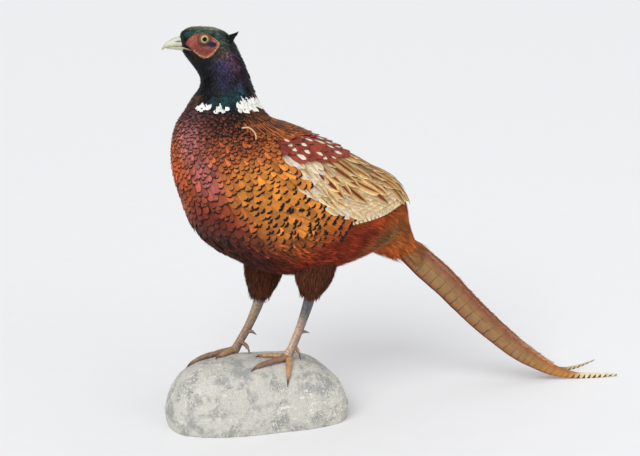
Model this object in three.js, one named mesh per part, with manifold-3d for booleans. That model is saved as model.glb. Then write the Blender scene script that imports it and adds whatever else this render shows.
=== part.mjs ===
// Taxidermy cock ring-necked pheasant standing on a cast rock, life size.
// Millimetres, +Z up. The bird faces -X, its tail runs to +X, its left side is -Y.
// The origin is the middle of the rock's flat underside, on the floor.
import * as THREE from 'three';
import { mergeVertices } from 'three/addons/utils/BufferGeometryUtils.js';
import Module from 'manifold-3d';

const wasm = await Module();
wasm.setup();

// ---------------------------------------------------------------- driving dimensions
const GAP = 0.3; // clear space between neighbouring solids
const HEAD_YAW = 14; // degrees the head is turned to the bird's right
const HEAD_AXIS_X = -38; // the neck's upright axis that the head turns about
const NECK_LEVELS = { still: 392, turned: 446 }; // heights between which the turn builds up

// Sections of the feathered body from the bill's root to the tail's root. Each has its point on
// the back line [x, z], its point on the front line [x, z], its half width, and how far its widest
// level lies toward the back line.
const BODY_SECTIONS = [
  { back: [-88.5, 480], front: [-87, 464.5], half: 5, high: 0.2 },
  { back: [-84, 485], front: [-81.5, 455], half: 10, high: 0.25 },
  { back: [-76, 489], front: [-75, 446.5], half: 13.5, high: 0.28 },
  { back: [-63, 490], front: [-69, 438], half: 15, high: 0.28 },
  { back: [-48, 488.5], front: [-65.5, 431], half: 16, high: 0.22 },
  { back: [-36, 484], front: [-64.5, 425], half: 17.5, high: 0.15 },
  { back: [-26, 474], front: [-65, 420], half: 19, high: 0.08 },
  { back: [-17, 457], front: [-67, 415], half: 21, high: 0 },
  { back: [-8.5, 436], front: [-71, 410], half: 24, high: 0 },
  { back: [-1, 414], front: [-77, 403], half: 28, high: 0 },
  { back: [7, 394], front: [-85, 391], half: 34, high: 0 },
  { back: [24, 376], front: [-96, 374], half: 43, high: 0 },
  { back: [44, 365], front: [-101.5, 348], half: 53, high: 0 },
  { back: [65, 356], front: [-100, 316], half: 61, high: 0 },
  { back: [85, 346], front: [-91, 284], half: 66, high: 0 },
  { back: [105, 335], front: [-79, 252], half: 69, high: 0 },
  { back: [125, 324], front: [-57, 226], half: 70, high: 0 },
  { back: [145, 312], front: [-24, 206], half: 68, high: 0 },
  { back: [164, 302], front: [14, 189], half: 64, high: 0 },
  { back: [181, 289], front: [52, 183], half: 57, high: 0 },
  { back: [193, 272], front: [88, 186], half: 47, high: 0 },
  { back: [199, 253], front: [120, 193], half: 36, high: 0 },
  { back: [202, 236], front: [147, 201], half: 27, high: 0 },
  { back: [208, 219], front: [175, 190], half: 19, high: 0 },
];
const BODY_SIDES = 22;
const BODY_STEPS = 33;
const BODY_SQUARENESS = 2.15; // 2 is an ellipse, more is boxier
const PARTINGS = { head: 7.4, neck: 10.6, trunk: 20.8 }; // section numbers where the body is parted

// Inset is the eye's centre's distance from the middle of the head; opening is the lids' radius.
const EYE = { x: -59.5, z: 476.8, radius: 7.5, inset: 9.6, opening: 6.3 };
// The bare red face patch, seen square on: [x, z] round its edge.
const WATTLE_EDGE = [
  [-81.5, 472], [-76, 479.5], [-69, 482.6], [-59, 484], [-51, 479.5], [-41.5, 471.5],
  [-46, 463], [-53, 456], [-61, 453.8], [-69.5, 459], [-76.5, 465.5],
];
const WATTLE_DEPTH = 1.3;

const UPPER_BILL = [
  { back: [-80, 479.5], front: [-77, 466.2], half: 6.2, high: -0.2 },
  { back: [-86, 479.2], front: [-84, 466.2], half: 5.6, high: -0.25 },
  { back: [-95.5, 476.6], front: [-94, 466.2], half: 4.4, high: -0.3 },
  { back: [-103.5, 471.8], front: [-102.5, 465.6], half: 2.9, high: -0.2 },
  { back: [-107.6, 467], front: [-106.8, 464.2], half: 1.5, high: 0 },
  { back: [-109.4, 463.2], front: [-108.8, 462.6], half: 0.5, high: 0 },
];
const LOWER_BILL = [
  { back: [-77, 465.8], front: [-78, 459.5], half: 5.6, high: 0.2 },
  { back: [-86, 465.8], front: [-86, 461.2], half: 4.6, high: 0.25 },
  { back: [-95, 465.8], front: [-95, 462.8], half: 3.4, high: 0.25 },
  { back: [-103.5, 465.2], front: [-103.5, 464.2], half: 1.6, high: 0 },
];

// Each ear tuft from its root to its tip, as [x, distance from the middle, z].
const EAR_TUFT = {
  root: [-35, 8, 472],
  tips: { left: [-21, 11.5, 483], right: [-24, 10, 477] },
  width: 5.5,
  thickness: 2.4,
};

// The folded wing, seen square on: [x, z] round its edge.
const WING_EDGE = [
  [62, 400], [32, 376], [4, 362], [-6, 347], [3, 327], [24, 303], [48, 285], [73, 271], [100, 258],
  [130, 255], [160, 257], [186, 262], [203, 270], [206, 300], [190, 420],
];
const WING_DEPTH = { edge: 1.2, middle: 5 };
const WING_FROM_MIDDLE = 3; // clear space from the back's middle line to each wing

// Legs. The thigh, shank, hind toe and spur have paths of [x, distance from the middle, z]. The
// front toes have paths of [x, distance from the middle] and lie on the rock.
const LEGS = {
  left: {
    thigh: [[68, 30, 215], [65, 31, 188], [62, 30, 172], [58.5, 30, 159]],
    shank: [[60.5, 30, 166], [57.5, 30, 151], [48.5, 29, 124], [39, 28, 100], [33, 28, 88]],
    middle: [[33, 28], [14, 31.5], [-5, 36.5], [-21, 42]],
    inner: [[33, 28], [18, 19], [6, 12.5], [-4, 8]],
    outer: [[33, 28], [29, 39], [25, 48], [21, 55.5]],
    hind: [[37, 26, 98], [43, 26, 93], [46, 27, 87], [48, 28, 82]],
    spur: [[46, 28, 114.5], [54, 25, 113], [61.5, 23, 110]],
  },
  right: {
    thigh: [[27, 30, 215], [21.5, 31, 182], [18, 31, 162], [14.5, 30, 145]],
    shank: [[16.5, 30, 152], [13, 30, 138], [1, 30, 112], [-12, 30, 91], [-18, 30, 81]],
    middle: [[-18, 30], [-41, 27.5], [-63, 25], [-84, 22]],
    inner: [[-18, 30], [-30, 22], [-41, 15], [-50, 10]],
    outer: [[-18, 30], [-33, 36], [-46, 40], [-57, 43]],
    hind: [[-13, 28, 92], [-7, 22, 89], [-5, 16, 84], [-6, 10, 79]],
    spur: [[-2, 30, 105], [4, 27, 103], [9, 25, 99]],
  },
};
const THIGH_HALF = { long: [30, 26, 20, 9], wide: [18, 15, 12.5, 7.5] };
const SHANK_HALF = { long: [7.2, 6.8, 5.6, 5.4, 6], wide: [5.4, 4.8, 4.3, 4.3, 5.2] };
const TOE_RADII = { middle: [4.6, 3.9, 3.4, 2.7], side: [4.2, 3.5, 3, 2.5], hind: [2.8, 2.5, 2.2, 1.8] };
const CLAW_SHARE = { middle: 0.2, inner: 0.27, outer: 0.25, hind: 0.4 }; // of each toe's length
const BALL_RADIUS = 6.4;

const ROCK = {
  centre: [-3, -2],
  turn: -4, // degrees, against the bird's line
  halfLength: { front: 112, back: 114 }, // toward the bird's front and toward its tail
  halfDepth: 61,
  squareness: { front: 2.5, back: 4 }, // 2 is an ellipse, more is boxier
  height: 80.5,
  shoulder: { front: 4.8, back: 2.6 }, // how far out the top stays level before it rounds off
  blend: 40, // half the length in which the front's shoulder turns into the back's
  tiltY: -0.05, // the top falls toward the bird's right
  tiltX: 0.02,
  waist: 0.965, // the underside's size against the widest level
  waistHeight: 12,
  sides: 28,
};
const ROCK_LEVELS = [0.02, 0.3, 0.5, 0.66, 0.78, 0.86, 0.92, 0.96, 0.985, 1, 1, 1];

// Each half of the tail is one long blade, hung from the ridge like half a roof. Its centre line is
// [x, distance from the middle, z]; lean is the tilt from upright, in degrees.
const TAIL = {
  left: [[194, 9, 205], [215, 9.4, 186], [254, 9.9, 150], [296, 9.3, 106], [350, 7.6, 56.5],
    [384, 7, 31.5], [415, 9.5, 14], [443, 15, 4.8], [471, 22, 3], [499, 30, 3.6]],
  right: [[194, 9, 205], [215, 9.4, 186], [254, 9.9, 150], [296, 9.3, 106], [350, 7.4, 57],
    [382, 5.8, 32.5], [409, 5, 15.5], [434, 4.5, 9], [460, 4, 11], [485, 3, 18]],
  width: [18, 36, 39, 36, 29, 22, 13.5, 6.5, 4, 1.4],
  thickness: [7, 6, 4.6, 3.6, 2.8, 2.2, 1.8, 1.5, 1.2, 0.8],
  lean: 24,
  steps: 26,
};

const colours = {
  rock: 0xb8b8b4, head: 0x2c4a3c, neck: 0x2e2a5a, trunk: 0xb5603a, rump: 0x7a3a22, bill: 0xcfcfb0,
  eye: 0xd8c878, tuft: 0x14201e, wattle: 0xb8402e, wing: 0xc0a880, thigh: 0x5a2e1e, leg: 0x8e7460,
  spur: 0x6a5e54, claw: 0x5a4838, tail: 0xa98450,
};

const materials = {};
for (const [name, colour] of Object.entries(colours)) {
  const roughness = name === 'eye' ? 0.1 : name === 'bill' || name === 'claw' ? 0.4 : 0.8;
  materials[name] = new THREE.MeshStandardMaterial({ color: colour, roughness, metalness: 0 });
}

// ---------------------------------------------------------------- solids and meshes
const group = new THREE.Group();
const SIDES = { left: -1, right: 1 };

function solidOf(geometry) {
  const bare = geometry.clone();
  bare.deleteAttribute('normal');
  bare.deleteAttribute('uv');
  const merged = mergeVertices(bare, 1e-4);
  const index = merged.index.array;
  const build = (triVerts) => new wasm.Manifold(new wasm.Mesh({
    numProp: 3,
    vertProperties: new Float32Array(merged.attributes.position.array),
    triVerts,
  }));
  const solid = build(new Uint32Array(index));
  if (solid.volume() > 0) return solid;
  return build(new Uint32Array(index).reverse());
}

function addMesh(name, solid, material) {
  const { vertProperties, triVerts } = solid.getMesh();
  const geometry = new THREE.BufferGeometry();
  geometry.setAttribute('position', new THREE.BufferAttribute(new Float32Array(vertProperties), 3));
  geometry.setIndex(new THREE.BufferAttribute(new Uint32Array(triVerts), 1));
  geometry.computeVertexNormals();
  const mesh = new THREE.Mesh(geometry, material);
  mesh.name = name;
  group.add(mesh);
}

// A closed tube: a unit cylinder whose every vertex is moved to place(t, angle, radius), where t
// runs 0..1 along it, angle round it, and radius is 0 at the middle of an end and 1 elsewhere.
function sweep(place, sides, steps) {
  const geometry = new THREE.CylinderGeometry(1, 1, 1, sides, steps);
  const position = geometry.attributes.position;
  for (let i = 0; i < position.count; i += 1) {
    const x = position.getX(i);
    const z = position.getZ(i);
    const radius = Math.hypot(x, z) > 0.5 ? 1 : 0;
    const turn = Math.round((Math.atan2(z, x) / (2 * Math.PI)) * sides) / sides;
    const t = Math.round((0.5 - position.getY(i)) * steps) / steps;
    const point = place(t, turn * 2 * Math.PI, radius);
    position.setXYZ(i, point.x, point.y, point.z);
  }
  return solidOf(geometry);
}

// A prism of an outline in the side view, from the side plane y = near to y = far.
function sidePrism(edge, near, far) {
  const shape = new THREE.Shape(edge.map(([x, z]) => new THREE.Vector2(x, z)));
  const geometry = new THREE.ExtrudeGeometry(shape, { depth: far - near, bevelEnabled: false });
  geometry.rotateX(Math.PI / 2);
  geometry.translate(0, far, 0);
  return geometry;
}

// A smooth closed outline through a few points.
function roundEdge(edge, count) {
  const points = edge.map(([x, z]) => new THREE.Vector3(x, 0, z));
  const curve = new THREE.CatmullRomCurve3(points, true, 'catmullrom', 0.5);
  return curve.getPoints(count).slice(0, count).map(({ x, z }) => [x, z]);
}

function curveOf(points) {
  return new THREE.CatmullRomCurve3(points.map(([x, y, z]) => new THREE.Vector3(x, y, z)));
}

// A list of sizes read smoothly at t from 0 to 1.
function sizeAt(sizes, t) {
  return new THREE.SplineCurve(sizes.map((size, i) => new THREE.Vector2(i, size))).getPoint(t).y;
}

// ---------------------------------------------------------------- the feathered body
function turnHead(point) {
  const share = THREE.MathUtils.smoothstep(point.z, NECK_LEVELS.still, NECK_LEVELS.turned);
  const yaw = -THREE.MathUtils.degToRad(HEAD_YAW) * share;
  const x = point.x - HEAD_AXIS_X;
  const y = point.y;
  point.x = HEAD_AXIS_X + x * Math.cos(yaw) - y * Math.sin(yaw);
  point.y = x * Math.sin(yaw) + y * Math.cos(yaw);
  return point;
}

function turnGeometry(geometry) {
  const position = geometry.attributes.position;
  const point = new THREE.Vector3();
  for (let i = 0; i < position.count; i += 1) {
    turnHead(point.fromBufferAttribute(position, i));
    position.setXYZ(i, point.x, point.y, point.z);
  }
  return geometry;
}

// A surface through sections. surface(number, angle, radius) is its point at a section number and
// an angle, 0 on the back line and 180 degrees on the front line, the bird's left side between.
function surfaceThrough(sections) {
  const back = curveOf(sections.map((section) => [section.back[0], 0, section.back[1]]));
  const front = curveOf(sections.map((section) => [section.front[0], 0, section.front[1]]));
  const halves = curveOf(sections.map((section, i) => [section.half, section.high, i]));
  const last = sections.length - 1;
  const power = 2 / BODY_SQUARENESS;
  return (number, angle, radius = 1) => {
    const t = number / last;
    const top = back.getPoint(t);
    const bottom = front.getPoint(t);
    const { x: half, y: high } = halves.getPoint(t);
    const centre = top.clone().add(bottom).multiplyScalar(0.5);
    const up = Math.sign(Math.cos(angle)) * Math.abs(Math.cos(angle)) ** power;
    const side = Math.sign(Math.sin(angle)) * Math.abs(Math.sin(angle)) ** power;
    const point = centre.clone().addScaledVector(top.sub(centre), up * radius);
    point.y = -side * half * radius * (1 + high * up);
    return turnHead(point);
  };
}

function liftedSolid(sections, lift, sides, steps, from = 0, to = sections.length - 1) {
  const surface = surfaceThrough(sections);
  const last = sections.length - 1;
  const normal = (number, angle) => {
    const along = surface(Math.min(number + 0.05, last), angle)
      .sub(surface(Math.max(number - 0.05, 0), angle));
    const round = surface(number, angle + 0.02).sub(surface(number, angle - 0.02));
    return round.cross(along).normalize();
  };
  return sweep((t, angle, radius) => {
    const number = THREE.MathUtils.lerp(from, to, t);
    const point = surface(number, angle, radius);
    const amount = typeof lift === 'function' ? lift(number, angle) : lift;
    if (radius > 0 && amount !== 0) point.addScaledVector(normal(number, angle), amount);
    return point;
  }, sides, steps);
}

const bodySolid = (lift) => liftedSolid(BODY_SECTIONS, lift, BODY_SIDES, BODY_STEPS);
const bodySurface = surfaceThrough(BODY_SECTIONS);
const wholeBody = bodySolid(0);
const clearOfBody = bodySolid(GAP * 1.4);

// A thin slab across the body at a section number, and all that lies past it toward the tail.
function pastSection(number, shift) {
  const top = bodySurface(number, 0);
  const bottom = bodySurface(number, Math.PI);
  const left = bodySurface(number, Math.PI / 2);
  const across = left.clone().sub(top.clone().add(bottom).multiplyScalar(0.5)).normalize();
  const up = top.clone().sub(bottom).normalize();
  const onward = up.clone().cross(across).normalize();
  const size = 1600;
  const box = new THREE.BoxGeometry(size, size, size);
  const place = new THREE.Matrix4().makeBasis(onward, up, across);
  const centre = top.clone().add(bottom).multiplyScalar(0.5)
    .addScaledVector(onward, size / 2 + shift);
  box.applyMatrix4(place.setPosition(centre));
  return solidOf(box);
}

// ---------------------------------------------------------------- the rock
const rockTurn = THREE.MathUtils.degToRad(ROCK.turn);

function rockTop(x, y) {
  const [cx, cy] = ROCK.centre;
  const along = (x - cx) * Math.cos(rockTurn) + (y - cy) * Math.sin(rockTurn);
  const across = (y - cy) * Math.cos(rockTurn) - (x - cx) * Math.sin(rockTurn);
  const half = along < 0 ? ROCK.halfLength.front : ROCK.halfLength.back;
  const share = THREE.MathUtils.smoothstep(along, -ROCK.blend, ROCK.blend);
  const shoulder = THREE.MathUtils.lerp(ROCK.shoulder.front, ROCK.shoulder.back, share);
  const square = along < 0 ? ROCK.squareness.front : ROCK.squareness.back;
  const u = Math.abs(along / half) ** square;
  const v = Math.abs(across / ROCK.halfDepth) ** square;
  const out = Math.min(u + v, 1) ** (1 / square);
  const dome = (1 - out ** shoulder) ** 0.42;
  return (ROCK.height + ROCK.tiltX * x + ROCK.tiltY * y) * dome;
}

function rockSolid(lift) {
  const count = ROCK_LEVELS.length - 1;
  const [cx, cy] = ROCK.centre;
  return sweep((t, angle, radius) => {
    const step = Math.round(t * count);
    const c = Math.cos(angle);
    const s = Math.sin(angle);
    const half = c < 0 ? ROCK.halfLength.front : ROCK.halfLength.back;
    const square = c < 0 ? ROCK.squareness.front : ROCK.squareness.back;
    const corner = (Math.abs(c) ** square + Math.abs(s) ** square) ** (-1 / square);
    const out = ROCK_LEVELS[step] * radius;
    const along = half * out * corner * c;
    const across = ROCK.halfDepth * out * corner * s;
    let x = cx + along * Math.cos(rockTurn) - across * Math.sin(rockTurn);
    let y = cy + along * Math.sin(rockTurn) + across * Math.cos(rockTurn);
    let z = rockTop(x, y) + lift;
    if (step === count - 2) z = ROCK.waistHeight * 1.6;
    if (step === count - 1) z = ROCK.waistHeight * 0.6;
    if (step === count) z = 0;
    const lump = 1 + 0.014 * Math.sin(3 * angle + 1) + 0.008 * Math.sin(7 * angle);
    const wide = (step > 5 ? lump : 1) * (step === count ? ROCK.waist : 1);
    x = cx + (x - cx) * wide;
    y = cy + (y - cy) * wide;
    return new THREE.Vector3(x, y, z);
  }, ROCK.sides, count);
}

const clearOfRock = rockSolid(GAP);
addMesh('base_rock', rockSolid(0), materials.rock);

// ---------------------------------------------------------------- tubes along a path
// A tube of oval section along a path. halves gives its half sizes across and along the hint
// direction, each a list read along the path; from and to are shares of the path.
function tube(path, halves, { sides = 8, steps = 8, extra = 0, from = 0, to = 1, hint } = {}) {
  const curve = curveOf(path);
  const upright = hint ?? new THREE.Vector3(0, 0, 1);
  return sweep((t, angle, radius) => {
    const share = THREE.MathUtils.lerp(from, to, t);
    const centre = curve.getPointAt(share);
    const ahead = curve.getTangentAt(share);
    const across = new THREE.Vector3().crossVectors(ahead, upright).normalize();
    const up = new THREE.Vector3().crossVectors(across, ahead).normalize();
    const a = sizeAt(halves[0], share) + extra;
    const b = sizeAt(halves[1], share) + extra;
    return centre.addScaledVector(across, a * Math.cos(angle) * radius)
      .addScaledVector(up, b * Math.sin(angle) * radius);
  }, sides, steps);
}

const mirrored = (path, side) => path.map(([x, y, z]) => [x, y * side, z]);

// ---------------------------------------------------------------- head parts
const liftedBill = (sections, lift) => liftedSolid(sections, lift, 10, 6);
const upperBill = liftedBill(UPPER_BILL, 0).subtract(clearOfBody);
const lowerBill = liftedBill(LOWER_BILL, 0).subtract(liftedBill(UPPER_BILL, GAP))
  .subtract(clearOfBody);
addMesh('bill_upper', upperBill, materials.bill);
addMesh('bill_lower', lowerBill, materials.bill);

let head = wholeBody.subtract(pastSection(PARTINGS.head, -GAP));
for (const [name, side] of Object.entries(SIDES)) {
  const ball = (radius) => {
    const geometry = new THREE.SphereGeometry(radius, 12, 8);
    geometry.rotateX(Math.PI / 2);
    geometry.translate(EYE.x, EYE.inset * side, EYE.z);
    return solidOf(turnGeometry(geometry));
  };
  const opening = new THREE.CylinderGeometry(EYE.opening, EYE.opening, 20, 12);
  opening.translate(EYE.x, (EYE.inset + 12) * side, EYE.z);
  const socket = ball(EYE.radius + GAP).add(solidOf(turnGeometry(opening)));
  addMesh(`eye_${name}`, ball(EYE.radius), materials.eye);
  head = head.subtract(socket);

  const near = side < 0 ? -40 : 2;
  const patch = solidOf(turnGeometry(sidePrism(WATTLE_EDGE, near, near + 38)));
  const wattle = bodySolid(GAP * 1.4 + WATTLE_DEPTH).intersect(patch).subtract(clearOfBody)
    .subtract(socket);
  addMesh(`wattle_${name}`, wattle, materials.wattle);

  const { root, tips, width, thickness } = EAR_TUFT;
  const ends = mirrored([root, tips[name]], side).map((end) => turnHead(new THREE.Vector3(...end)));
  const middle = ends[0].clone().lerp(ends[1], 0.5);
  const path = [ends[0], middle, ends[1]].map((end) => end.toArray());
  const halves = [[thickness, thickness, 0.5], [width, width * 0.7, 0.5]];
  const tuft = tube(path, halves, { steps: 4 }).subtract(clearOfBody);
  addMesh(`ear_tuft_${name}`, tuft, materials.tuft);
}
addMesh('head', head, materials.head);

// ---------------------------------------------------------------- neck, trunk and rump
const neck = wholeBody.intersect(pastSection(PARTINGS.head, 0))
  .subtract(pastSection(PARTINGS.neck, -GAP));
const trunk = wholeBody.intersect(pastSection(PARTINGS.neck, 0))
  .subtract(pastSection(PARTINGS.trunk, -GAP));
const rump = wholeBody.intersect(pastSection(PARTINGS.trunk, 0));
addMesh('neck', neck, materials.neck);
addMesh('trunk', trunk, materials.trunk);
addMesh('rump', rump, materials.rump);

// ---------------------------------------------------------------- wings
function wingLift(number, angle) {
  const turn = THREE.MathUtils.radToDeg(Math.min(angle, 2 * Math.PI - angle));
  const along = Math.sin(Math.PI * THREE.MathUtils.clamp((number - 9.5) / 14, 0, 1)) ** 0.6;
  const round = 1 - THREE.MathUtils.smoothstep(turn, 70, 105);
  const depth = WING_DEPTH.edge + (WING_DEPTH.middle - WING_DEPTH.edge) * along * round;
  return GAP * 1.4 + depth;
}

for (const [name, side] of Object.entries(SIDES)) {
  const near = side < 0 ? -120 : WING_FROM_MIDDLE;
  const slab = solidOf(sidePrism(roundEdge(WING_EDGE, 40), near, near + 120 - WING_FROM_MIDDLE));
  const wing = bodySolid(wingLift).intersect(slab).subtract(clearOfBody);
  addMesh(`wing_${name}`, wing, materials.wing);
}

// ---------------------------------------------------------------- tail
function tailBlade(line, side) {
  const curve = curveOf(mirrored(line, side));
  const lean = THREE.MathUtils.degToRad(TAIL.lean);
  return sweep((t, angle, radius) => {
    const centre = curve.getPoint(t);
    const ahead = curve.getTangent(t);
    const upward = new THREE.Vector3(0, -side * Math.sin(lean), Math.cos(lean));
    const across = new THREE.Vector3().crossVectors(ahead, upward).normalize();
    const up = new THREE.Vector3().crossVectors(across, ahead).normalize();
    const half = sizeAt(TAIL.width, t) / 2;
    const depth = sizeAt(TAIL.thickness, t) / 2;
    return centre.addScaledVector(across, depth * Math.cos(angle) * radius)
      .addScaledVector(up, half * Math.sin(angle) * radius);
  }, 8, TAIL.steps);
}

for (const [name, side] of Object.entries(SIDES)) {
  const otherSide = new THREE.BoxGeometry(1200, 200, 1200);
  otherSide.translate(0, side * (GAP / 2 - 100), 0);
  const blade = tailBlade(TAIL[name], side).subtract(clearOfBody).subtract(solidOf(otherSide));
  addMesh(`tail_${name}`, blade, materials.tail);
}

// ---------------------------------------------------------------- legs
function addLeg(name, side) {
  const paths = LEGS[name];
  const thighPath = mirrored(paths.thigh, side);
  const thighOf = (extra) => tube(thighPath, [THIGH_HALF.wide, THIGH_HALF.long],
    { sides: 14, steps: 6, extra, hint: new THREE.Vector3(-1, 0, 0) });
  addMesh(`thigh_${name}`, thighOf(0).subtract(clearOfBody), materials.thigh);

  const shankPath = mirrored(paths.shank, side);
  const [ballX, ballY, ballZ] = shankPath.at(-1);
  const shankOf = (extra) => {
    const ball = new THREE.SphereGeometry(BALL_RADIUS + extra, 8, 6);
    ball.translate(ballX, ballY, ballZ);
    return tube(shankPath, [SHANK_HALF.wide, SHANK_HALF.long],
      { sides: 10, steps: 8, extra, hint: new THREE.Vector3(-1, 0, 0) }).add(solidOf(ball));
  };
  const shank = shankOf(0).subtract(thighOf(GAP)).subtract(clearOfRock);
  addMesh(`shank_${name}`, shank, materials.leg);

  // Each toe keeps clear of the shank and of the toes laid before it; its claw goes on from it.
  let taken = shankOf(GAP);
  for (const toe of ['middle', 'inner', 'outer', 'hind']) {
    const radii = TOE_RADII[toe] ?? TOE_RADII.side;
    const path = toe === 'hind' ? mirrored(paths.hind, side)
      : paths[toe].map(([x, y], i) => {
        const radius = radii[i];
        return [x, y * side, rockTop(x, y * side) + radius * 0.9 + (i === 0 ? 1 : 0)];
      });
    const length = curveOf(path).getLength();
    const end = 1 - CLAW_SHARE[toe];
    const toeOf = (extra) => tube(path, [radii, radii], { sides: 7, steps: 5, to: end, extra });
    addMesh(`toe_${toe}_${name}`, toeOf(0).subtract(clearOfRock).subtract(taken), materials.leg);
    const tip = radii.at(-1);
    const taper = [tip, tip, tip, tip, tip * 0.75, tip * 0.15];
    const claw = tube(path, [taper, taper], { sides: 6, steps: 3, from: end + GAP / length })
      .subtract(clearOfRock);
    addMesh(`claw_${toe}_${name}`, claw, materials.claw);
    taken = taken.add(toeOf(GAP));
  }

  const spurPath = mirrored(paths.spur, side);
  const spur = tube(spurPath, [[3.6, 2.4, 0.4], [3.6, 2.4, 0.4]], { sides: 6, steps: 3 })
    .subtract(shankOf(GAP));
  addMesh(`spur_${name}`, spur, materials.spur);
}
for (const [name, side] of Object.entries(SIDES)) addLeg(name, side);

export default group;
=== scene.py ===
# A stuffed cock ring-necked pheasant on its cast rock, life size. Metres, +Z up: the bird faces
# -X, its tail runs to +X and its left side is -Y. The sections follow the mount from the stand up:
# studio, rock, skin, small feathers, plumes, wings, tail, bill, face and legs.
import math

import bpy
import numpy as np
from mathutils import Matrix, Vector, noise
from mathutils.bvhtree import BVHTree
from mathutils.kdtree import KDTree


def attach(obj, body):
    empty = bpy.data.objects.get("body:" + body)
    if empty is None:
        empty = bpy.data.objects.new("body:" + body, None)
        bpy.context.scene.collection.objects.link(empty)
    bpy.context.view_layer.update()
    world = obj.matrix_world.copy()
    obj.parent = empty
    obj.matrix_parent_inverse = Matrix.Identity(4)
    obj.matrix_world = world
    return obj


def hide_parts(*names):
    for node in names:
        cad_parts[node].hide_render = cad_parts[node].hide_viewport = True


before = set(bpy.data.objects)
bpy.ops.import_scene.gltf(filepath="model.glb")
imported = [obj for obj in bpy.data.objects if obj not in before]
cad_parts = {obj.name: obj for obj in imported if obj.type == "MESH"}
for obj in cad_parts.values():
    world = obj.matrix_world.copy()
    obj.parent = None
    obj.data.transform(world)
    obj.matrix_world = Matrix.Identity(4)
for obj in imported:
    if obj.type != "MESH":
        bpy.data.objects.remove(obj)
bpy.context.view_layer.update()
MM = 0.001
rng = np.random.default_rng(20)


# ---------------------------------------------------------------- studio
# A sheet of pale paper far wider than the bird, in a bright white room. A large soft key high on
# the camera's left lights paper and bird alike, and a weak panel lifts the foreground.
def rgb(colour):
    """An sRGB hex colour as three numbers from 0 to 1; numbers stay as they are."""
    if isinstance(colour, str):
        colour = [int(colour[i:i + 2], 16) / 255 for i in (1, 3, 5)]
    return np.asarray(colour)


def linear(colour):
    """An sRGB colour, or rows of them, as linear red, green, blue and alpha."""
    colour = np.clip(rgb(colour), 0, 1)
    lit = np.where(colour <= 0.04045, colour / 12.92, ((colour + 0.055) / 1.055) ** 2.4)
    return np.concatenate([lit, np.ones(lit.shape[:-1] + (1,))], -1)


def mixed(share, colour, other):
    """Rows of a colour turned toward another by a share."""
    share = np.asarray(share)[..., None]
    return rgb(colour) * (1 - share) + rgb(other) * share


def new_material(name):
    """An empty material of nodes, and the function that adds a node to it."""
    material = bpy.data.materials.new(name)
    material.use_nodes = True
    tree = material.node_tree
    tree.nodes.clear()

    def node(kind, inputs=(), operation=None, **settings):
        """Inputs go by name, or in the order of those that the node shows. Each is a value, a
        socket, or a node whose first shown output is meant."""
        added = tree.nodes.new("ShaderNode" + kind)
        if operation:
            settings["operation"] = operation
        for key, value in settings.items():
            setattr(added, key, value)
        if isinstance(inputs, dict):
            pairs = [(added.inputs[key], value) for key, value in inputs.items()]
        else:
            pairs = zip([socket for socket in added.inputs if socket.enabled], inputs)
        for socket, value in pairs:
            if isinstance(value, bpy.types.Node):
                value = next(out for out in value.outputs if out.enabled)
            if isinstance(value, bpy.types.NodeSocket):
                tree.links.new(value, socket)
            else:
                socket.default_value = value
        return added

    return material, node


def finish_material(node, colour, shade=None, bump=None, **shader):
    """Links a Principled shader. Shade darkens or lightens the colour, bump is a height with its
    strength and its distance in metres, and the shader's other sockets get fixed values."""
    inputs = {"Base Color": colour, **{key.replace("_", " "): v for key, v in shader.items()}}
    if shade is not None:
        inputs["Base Color"] = node("VectorMath", (colour, shade), "MULTIPLY")
    if bump is not None:
        inputs["Normal"] = node("Bump", dict(zip(("Height", "Strength", "Distance"), bump)))
    node("OutputMaterial", {"Surface": node("BsdfPrincipled", inputs)})


def new_object(name, points, quads, rings, material):
    """A mesh object from an array of points, an array of quads, and rings that close holes."""
    points = np.asarray(points, np.float32).reshape(-1, 3)
    corners = np.concatenate([np.asarray(quads).ravel(), *rings]).astype(np.int32)
    starts = np.cumsum([0] + [4] * len(quads) + [len(ring) for ring in rings])[:-1]
    mesh = bpy.data.meshes.new(name)
    mesh.vertices.add(len(points))
    mesh.vertices.foreach_set("co", points.ravel())
    mesh.loops.add(len(corners))
    mesh.loops.foreach_set("vertex_index", corners)
    mesh.polygons.add(len(starts))
    mesh.polygons.foreach_set("loop_start", starts.astype(np.int32))
    mesh.update(calc_edges=True)
    mesh.validate()
    mesh.shade_smooth()
    mesh.materials.append(material)
    piece = bpy.data.objects.new(name, mesh)
    bpy.context.scene.collection.objects.link(piece)
    return piece


scene = bpy.context.scene
CAMERA_PLACE = (-0.6014, -1.7865, 0.7130)
CAMERA_TURN = (76, 0, -21)  # degrees
camera_data = bpy.data.cameras.new("camera")
camera_data.lens = 90
camera_data.sensor_width = 36
camera = bpy.data.objects.new("camera", camera_data)
camera.location = CAMERA_PLACE
camera.rotation_euler = [math.radians(turn) for turn in CAMERA_TURN]
scene.collection.objects.link(camera)
scene.camera = camera
scene.view_settings.view_transform = "Standard"

world = bpy.data.worlds.new("white_room")
scene.world = world
world.use_nodes = True
ROOM_LIGHT = 0.64
room = world.node_tree.nodes["Background"].inputs
room["Color"].default_value = linear("#fdfdff")
room["Strength"].default_value = ROOM_LIGHT

AIM = Vector((0.06, 0, 0.28))  # the middle of the bird
LAMPS = {  # kind, place, spread in degrees or width in metres, strength
    "key": ("SUN", (-1.3, -1.5, 1.9), 38, 1.8),
    "fill": ("AREA", (0.9, -1.9, 1.2), 1.4, 5),
}
for name, (kind, place, spread, power) in LAMPS.items():
    lamp_data = bpy.data.lights.new(f"lamp_{name}", kind)
    lamp_data.energy = power
    if kind == "SUN":
        lamp_data.angle = math.radians(spread)
    else:
        lamp_data.size = spread
    lamp = bpy.data.objects.new(f"lamp_{name}", lamp_data)
    lamp.location = place
    lamp.rotation_euler = (AIM - Vector(place)).to_track_quat("-Z", "Y").to_euler()
    scene.collection.objects.link(lamp)

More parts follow.
